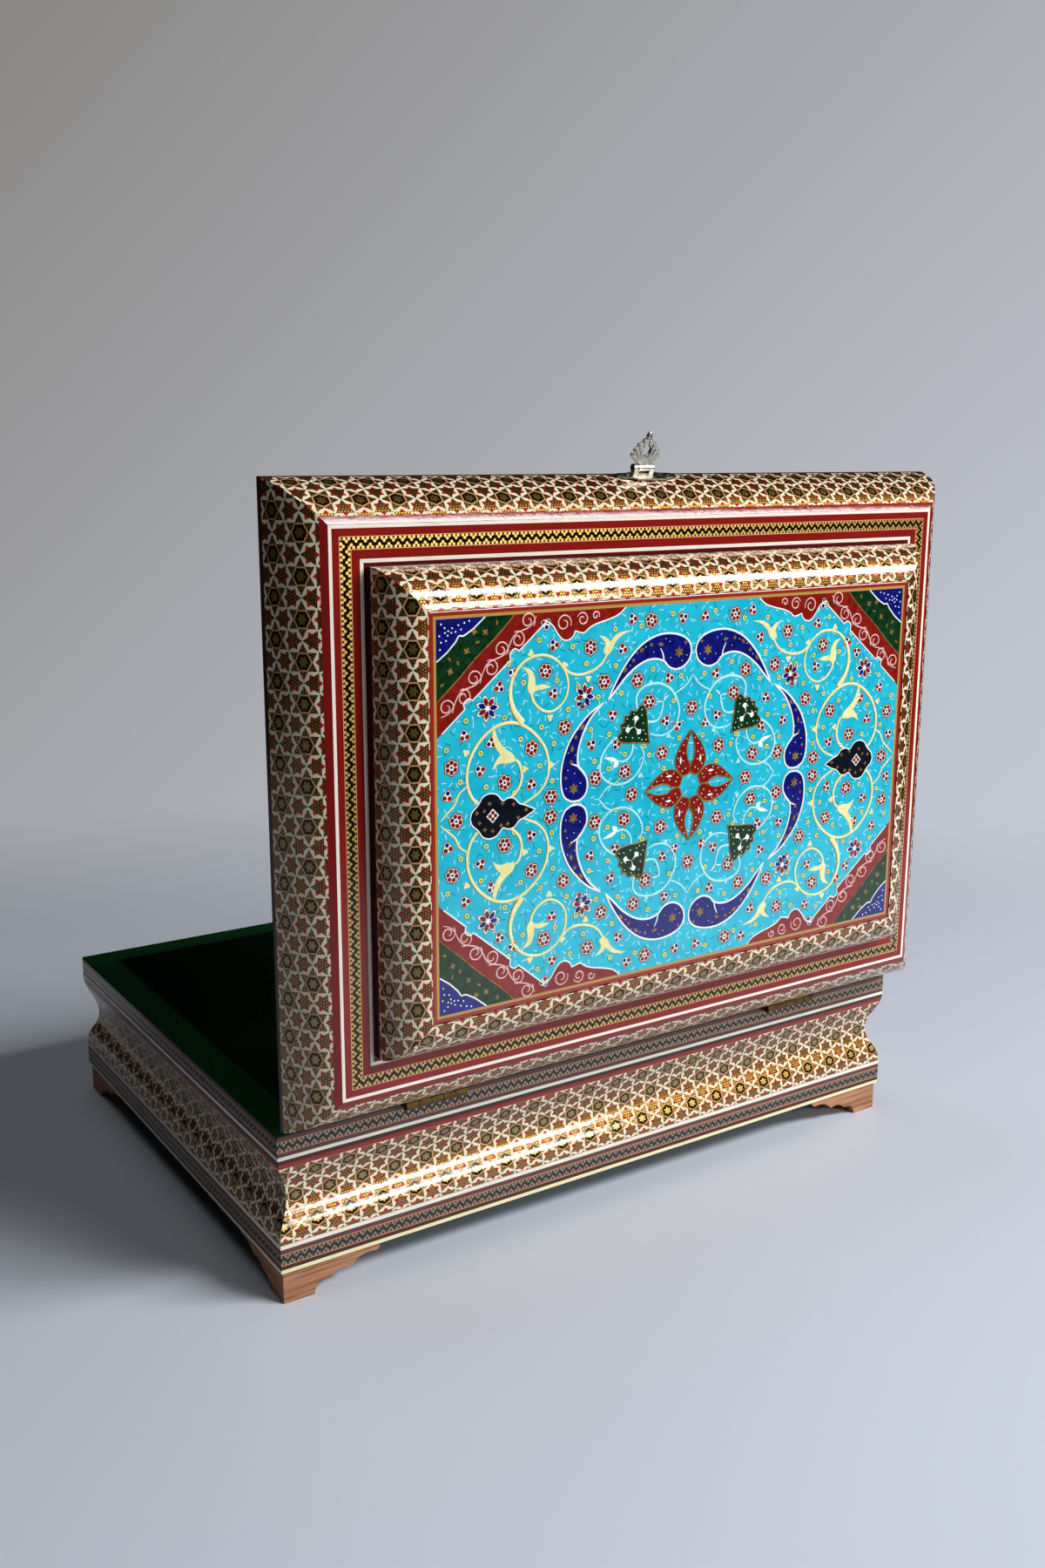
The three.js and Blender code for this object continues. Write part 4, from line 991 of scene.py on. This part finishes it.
def corner_fields(paints):
    """Corner pieces: a navy tip, a dark green band and a red band, and red lobes along the long edges."""
    right, top = GROUND_HALF
    red_edge = outline(
        [(29.6, top), (32.5, 62), (36.7, 60.6), (41.7, 59.4), (44.6, 58.2), (46.8, 56.8), (50.2, 57.6)],
        [(50.2, 57.6), (51, 55.9), (53, 54.8), (55.2, 55.2), (57.3, 57.4), (59, 59.8), (61.3, 61.5)],
        [(61.3, 61.5), (72, 52.6)],
        [(72, 52.6), (73.6, 53.4), (75.3, 52.2), (75.2, 50)],
        [(75.2, 50), (89.4, 38.2)],
        [(89.4, 38.2), (91, 38.8), (92.6, 37.5), (92.3, 35.6)],
        [(92.3, 35.6), (right, 27.2)],
    )
    red_field = np.vstack([red_edge, [(right, 27.2), (right, top)]])
    green_field = np.array([(right, top), (73.7, top), (right, 38.7)])
    wavy = smooth_line([(84.6, top), (88.3, 61.3), (89.6, 60.4), (92.5, 58.8), (94.2, 58.8), (95.4, 57.1),
                        (97.1, 55.4), (98.3, 54.2), (100, 52.9), (right, 51.3)])
    navy_field = np.vstack([[(right, top)], wavy])
    paint_shapes("corner_red", four_ways(red_field), 0.03, paints["red"])
    paint_shapes("corner_green", four_ways(green_field), 0.05, paints["green"])
    paint_shapes("corner_navy", four_ways(navy_field), 0.07, paints["navy"])
    fine = [wavy, red_edge]
    paint_strokes("corner_white_edges", [(line, np.full(len(line), 0.55)) for line in four_ways(*fine)], 0.09,
                  paints["white"])
    gold_line = smooth_line([(73.7, top), (80, 58.2), (88, 51.6), (95, 45), (right, 38.7)])
    paint_strokes("corner_gold_edges", [(line, np.full(len(line), 0.5)) for line in four_ways(gold_line)],
                  0.09, paints["gold"])
    curls = running_scroll((100.8, 33.9), (65.4, 63.4), 7, 1.0, 2.7)
    curls += [spiral((54.6, 60.4), 200, 2.9, 0.8, -480, 22), spiral((47.2, 61.3), 20, 2.3, 0.6, 480, 20),
              spiral((41.9, 62.2), 200, 1.5, 0.4, -400, 14)]
    paint_strokes("corner_curls", [brush(line, 0.5, 0.6, 0.5) for line in four_ways(*curls)], 0.07,
                  paints["pink"])
    marks = []
    for i, (x, y) in enumerate(((80.2, 62.2), (84.6, 59.4), (87.4, 56.4), (91.4, 54), (94.6, 50.4),
                                (97.4, 48), (100.4, 44), (88.6, 59.8), (97.6, 51.8))):
        marks.append(turned_by(blossom((0, 0), 1.2 if i % 2 else 0.8, 4 if i % 2 else 2, 0.6), 40 * i,
                               place=(x, y)))
    paint_shapes("corner_flecks", four_ways(*marks), 0.07, paints["gold"])
    spots = [(98, 60.6), (99.3, 61.6), (96.6, 61.4), (98.2, 59.2), (99.2, 60.1), (96.9, 60.0), (94.4, 62.2),
             (92.2, 62.8), (100.6, 57.2), (101, 55), (95.4, 60.2), (93.4, 60.8), (100.6, 62.8),
             (101.2, 59.2), (98.8, 57.6), (90.4, 63.3)]
    paint_shapes("corner_dots", four_ways(*[dot(spot, 0.3, 6) for spot in spots]), 0.09, paints["white"])


def scattered_flowers(paints):
    """Small flowers and trefoils of round petals, ringed dots, and eight lotus flowers of several colours."""
    flowers = [(43.8, 51.8), (18.6, 59.2), (61.7, 45.4), (38.1, 40.0), (24.2, 39.4), (54, 26.2), (66.9, 20.6),
               (97.2, 17.6), (77.4, 10.4), (41.2, 7.6), (59.3, 3.4), (19.0, 31.6), (12.8, 13.2), (28.8, 8.4)]
    on_axes = [(0, 27.8), (0, -27.8), (95.6, 0), (-95.6, 0), (25.8, 0), (-25.8, 0)]
    trefoils = [(4.9, 59.3), (58.4, 53.6), (30.6, 50.4), (79.4, 41.6), (58.6, 37.8), (74.2, 45.6),
                (34.4, 28.4), (10.4, 39.0), (92.4, 27.2), (82.4, 24.0), (11.6, 24.2), (43.1, 19.2),
                (86.6, 15.4), (32.6, 18.2), (67.0, 8.6), (98.8, 8.4), (47.4, 33.4), (61.6, 60.6),
                (6.4, 22.0), (26.6, 60.2)]
    rings = [(9.4, 60.9), (33.8, 57.2), (22.9, 57.6), (64.2, 55.6), (51.0, 52.6), (75.9, 48.8), (45.4, 46.6),
             (33.4, 45.0), (70.2, 42.4), (57.2, 42.0), (17.6, 42.6), (5.2, 39.4), (31.0, 35.6), (40.4, 35.0),
             (91.8, 32.0), (77.4, 31.6), (52.6, 32.0), (63.2, 27.2), (8.2, 31.0), (19.6, 24.4), (43.4, 24.4),
             (35.6, 22.0), (99.0, 23.4), (86.4, 21.0), (71.2, 24.0), (58.2, 21.2), (94.0, 12.6), (84.4, 9.8),
             (63.8, 14.4), (58.8, 8.8), (73.6, 6.6), (41.6, 13.4), (29.0, 14.4), (20.8, 16.4), (18.4, 13.0),
             (35.8, 10.2), (12.0, 7.6), (32.2, 4.6), (5.2, 17.6), (48.6, 39.4)]
    browns = []
    whites = []
    reds = []
    blues = []
    limes = []
    rims = []
    pales = []
    for i, (x, y) in enumerate(mirrored_places(flowers) + on_axes):
        turn = 17 * i
        browns.append(blossom((x, y), 3.1, 6, 0.16, turn))
        whites.append(blossom((x, y), 2.65, 6, 0.2, turn))
        reds += [dot(polar((x, y), (60 * k + turn, 1.62))[0], 0.8, 8) for k in range(6)]
        blues.append(dot((x, y), 0.5, 6))
    for i, (x, y) in enumerate(mirrored_places(trefoils)):
        turn = 90 + 25 * i
        browns.append(blossom((x, y), 2.5, 3, 0.34, turn))
        whites.append(blossom((x, y), 2.15, 3, 0.36, turn))
        reds += [dot(polar((x, y), (turn + degrees, 1.1))[0], 0.84, 8) for degrees in (0, 120)]
        blues.append(dot(polar((x, y), (turn + 240, 1.1))[0], 0.76, 8))
    lotus_petal = outline([(0.9, 0), (2.2, 1), (3.6, 1.05), (5.2, 0)], [(5.2, 0), (3.6, -1.05), (2.2, -1),
                                                                        (0.9, 0)])
    for x, y in mirrored_places([(83.8, 35.2), (46, 36)]):
        facing = math.degrees(math.atan2(y, x))
        browns.append(blossom((x, y), 4.9, 7, 0.42, facing))
        whites.append(blossom((x, y), 4.5, 7, 0.46, facing))
        for k in range(7):
            petal = turned_by(lotus_petal, facing + 360 * k / 7, place=(x, y), size=0.74)
            (blues if k in (0, 3, 4) else reds).append(petal)
    for place in mirrored_places(rings):
        rims.append(dot(place, 1.2, 10))
        pales.append(dot(place, 0.95, 10))
        limes.append(dot(place, 0.6, 7))
    for label, shapes, level, paint in (("browns", browns, 0.03, "brown"), ("whites", whites, 0.05, "white"),
                                        ("reds", reds, 0.07, "dark_red"), ("blues", blues, 0.07, "navy"),
                                        ("ring_rims", rims, 0.03, "teal"), ("ring_pales", pales, 0.05,
                                                                            "pale_lime"), ("limes", limes,
                                                                                           0.07, "lime"), ):
        paint_shapes(f"scattered_{label}", shapes, level, paints[paint])


def paint_panel():
    """The board and its drawing, from the lowest coat to the top one."""
    paints = {
        "navy": paint_material("navy_enamel", "#0a0e50", "#141c80"),
        "red": paint_material("brick_red_enamel", "#6e120c", "#8c2016"),
        "dark_red": paint_material("dark_red_enamel", "#6a1210", "#86201a"),
        "green": paint_material("dark_green_enamel", "#08210f", "#143c20"),
        "black": paint_material("blue_black_enamel", "#0a0e18", "#141a26"),
        "cream": paint_material("cream_enamel", "#dcd68c", "#eee8ae"),
        "pale": paint_material("pale_turquoise_enamel", "#8fdce2", "#b8ecee"),
        "white": paint_material("white_enamel", "#dfe8e4", "#f4f6f0"),
        "pink": paint_material("pinkish_white_enamel", "#e0a8a4", "#f0d2cc"),
        "lime": paint_material("lime_green_enamel", "#6f9a22", "#94b834"),
        "pale_lime": paint_material("pale_lime_enamel", "#d2da8a", "#e8eab4"),
        "teal": paint_material("dark_teal_enamel", "#0c5a62", "#14707a"),
        "brown": paint_material("thin_brown_paint", "#5a4a3c", "#7a6248"),
        "gold": paint_material("gold_paint", "#6e5220", "#a48040", 0.4),
    }
    panel_board()
    corner_fields(paints)
    cream_scrolls(paints)
    pale_scrolls(paints)
    scattered_flowers(paints)
    navy_ring(paints)
    lobed_leaves(paints)
    middle_flower(paints)


# Felt and velvet

def velvet_tray(name, node_name, body, middle, size, open_side, material):
    """Velvet glued round a shallow tray: rounded inner corners, a thickness outwards, and an open side."""
    bpy.ops.object.select_all(action="DESELECT")
    bpy.ops.mesh.primitive_cube_add(size=1, location=[c * MM for c in middle], scale=[c * MM for c in size])
    tray = bpy.context.object
    tray.name = name
    bpy.ops.object.transform_apply(location=True, rotation=True, scale=True)
    mesh = tray.data
    bpy.ops.object.mode_set(mode="EDIT")
    bpy.ops.mesh.select_all(action="DESELECT")
    bpy.ops.object.mode_set(mode="OBJECT")
    for face in mesh.polygons:
        face.select = face.normal.dot(Vector(open_side)) > 0.9
    bpy.ops.object.mode_set(mode="EDIT")
    bpy.ops.mesh.delete(type="FACE")
    bpy.ops.mesh.select_all(action="DESELECT")
    bpy.ops.mesh.select_mode(type="EDGE")
    bpy.ops.mesh.select_non_manifold()
    bpy.ops.mesh.select_all(action="INVERT")
    bpy.ops.mesh.bevel(offset=VELVET_CORNER * MM, segments=4, affect="EDGES")
    bpy.ops.mesh.select_all(action="SELECT")
    bpy.ops.mesh.flip_normals()
    bpy.ops.object.mode_set(mode="OBJECT")
    wall = tray.modifiers.new("cloth", "SOLIDIFY")
    wall.thickness = VELVET_THICKNESS * MM
    wall.offset = -1
    bpy.ops.object.modifier_apply(modifier=wall.name)
    bpy.ops.object.shade_smooth_by_angle(angle=math.radians(40))
    mesh.materials.append(material)
    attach(tray, body)
    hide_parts(node_name)


def cut_felt(name, node_name, body, material):
    """Felt cut to the CAD's outline, its cut edges softened."""
    piece = own_copy(node_name, name)
    soft = piece.modifiers.new("soft_edge", "BEVEL")
    soft.width = FELT_SOFT_EDGE * MM
    soft.segments = 2
    soft.limit_method = "ANGLE"
    bpy.ops.object.modifier_apply(modifier=soft.name)
    bpy.ops.object.shade_smooth_by_angle(angle=math.radians(50))
    piece.data.materials.append(material)
    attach(piece, body)
    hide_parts(node_name)


def line_box():
    """Glued linings: velvet so dark that only its sheen shows, and plain green felt on the edges."""
    velvet = pile_material("dark_green_velvet", "#020a04", "#0b2612", sheen=0.12)
    felt = pile_material("green_felt", "#05230f", "#0c4a20", sheen=0.2)
    well_middle = (0, BASE_MIDDLE_Y, (WELL_BOTTOM + RIM_HEIGHT) / 2)
    well_size = (LINING_LENGTH, LINING_DEPTH, RIM_HEIGHT - WELL_BOTTOM)
    velvet_tray("well_velvet", "well_lining", "base", well_middle, well_size, (0, 0, 1), velvet)
    lid_middle = (0, LID_UNDERSIDE_Y + LID_HOLLOW / 2, LID_MIDDLE_Z)
    lid_size = (LINING_LENGTH, LID_HOLLOW, LINING_DEPTH)
    velvet_tray("lid_velvet", "lid_lining", "lid", lid_middle, lid_size, (0, -1, 0), velvet)
    cut_felt("rim_felt_strip", "rim_felt", "base", felt)
    cut_felt("lid_felt_strip", "lid_felt", "lid", felt)
    cut_felt("under_felt_sheet", "under_felt", "base", felt)


# Studio

def soft_lamp(name, place, target, width, height, power, roll=0.0):
    """A large rectangular lamp, turned to its target and rolled by the degrees given."""
    data = bpy.data.lights.new(name, "AREA")
    data.shape = "RECTANGLE"
    data.size = width
    data.size_y = height
    data.energy = power
    lamp = bpy.data.objects.new(name, data)
    lamp.location = place
    facing = (Vector(place) - Vector(target)).to_track_quat("Z", "Y").to_matrix()
    lamp.rotation_euler = (facing @ Matrix.Rotation(math.radians(roll), 3, "Z")).to_euler()
    bpy.context.scene.collection.objects.link(lamp)


def make_stage():
    """A pale table that fades out round the box, a dim room, a pale wall with painted shade darker towards
    one side, and three soft lamps.
    """
    bpy.ops.mesh.primitive_circle_add(vertices=96, radius=TABLE_RADIUS, fill_type="NGON", location=(0, 0, 0))
    floor = bpy.context.object
    floor.name = "floor"
    material, tree, shader = new_material("pale_table", Roughness=0.55)
    shader.inputs["Base Color"].default_value = colour("#d2d9e6")
    place = node(tree, "ShaderNodeTexCoord").outputs["Object"]
    reach = node(tree, VECTOR, place, BELOW_CAMERA, operation="DISTANCE")
    far_end = node(tree, "ShaderNodeMapRange", reach.outputs["Value"], *TABLE_FADE, 0.0, 1.0,
                   interpolation_type="SMOOTHSTEP")
    behind = node(tree, "ShaderNodeSeparateXYZ", place).outputs["Y"]
    near_end = node(tree, "ShaderNodeMapRange", behind, *FADE_BEHIND_BOX, 0.0, 1.0,
                    interpolation_type="SMOOTHSTEP")
    fade = node(tree, MATH, far_end.outputs["Result"], near_end.outputs["Result"], operation="MAXIMUM")
    clear = node(tree, "ShaderNodeBsdfTransparent")
    whole = node(tree, "ShaderNodeMixShader", fade, shader.outputs["BSDF"], clear.outputs["BSDF"])
    tree.links.new(whole.outputs["Shader"], tree.nodes["Material Output"].inputs["Surface"])
    floor.data.materials.append(material)

    world = bpy.data.worlds.new("room")
    bpy.context.scene.world = world
    world.use_nodes = True
    tree = world.node_tree
    room = tree.nodes["Background"]
    room.inputs["Color"].default_value = colour("#c4c9d2")
    room.inputs["Strength"].default_value = ROOM_LIGHT
    # The wall that the camera sees has painted shade: grey towards one side and pale towards the other, as
    # uneven light on it.
    heading = node(tree, "ShaderNodeTexCoord").outputs["Generated"]
    painted_shade_slope = node(tree, VECTOR, heading, (-0.75, 0.5, -0.9), operation="DOT_PRODUCT")
    share = node(tree, MATH, painted_shade_slope.outputs["Value"], 0.5, operation="ADD")
    shade = node(tree, RAMP, share)
    set_stops(shade, [(0.0, "#8a8886"), (1.0, "#c4c8d3")])
    wall = node(tree, "ShaderNodeBackground", shade.outputs["Color"], 1.0)
    sight = node(tree, "ShaderNodeLightPath")
    seen = node(tree, "ShaderNodeMixShader", sight.outputs["Is Camera Ray"], room.outputs[0], wall.outputs[0])
    tree.links.new(seen.outputs[0], tree.nodes["World Output"].inputs["Surface"])

    soft_lamp("slanting_lamp", (-0.84, 1.03, 1.06), (0, 0.11, 0.2), width=1.0, height=0.36, power=27,
              roll=-36)
    soft_lamp("low_lamp", (-0.6, 1.36, 0.48), (0, 0.09, 0.03), width=0.42, height=0.17, power=7, roll=-10)
    soft_lamp("overhead_fill", (0.24, -0.3, 1.4), (0.34, -0.1, 0), width=0.7, height=0.7, power=2.2)


bpy.context.scene.view_settings.view_transform = "Standard"
place_camera()
make_mouldings()
dress_cad_nodes()
paint_panel()
line_box()
make_stage()
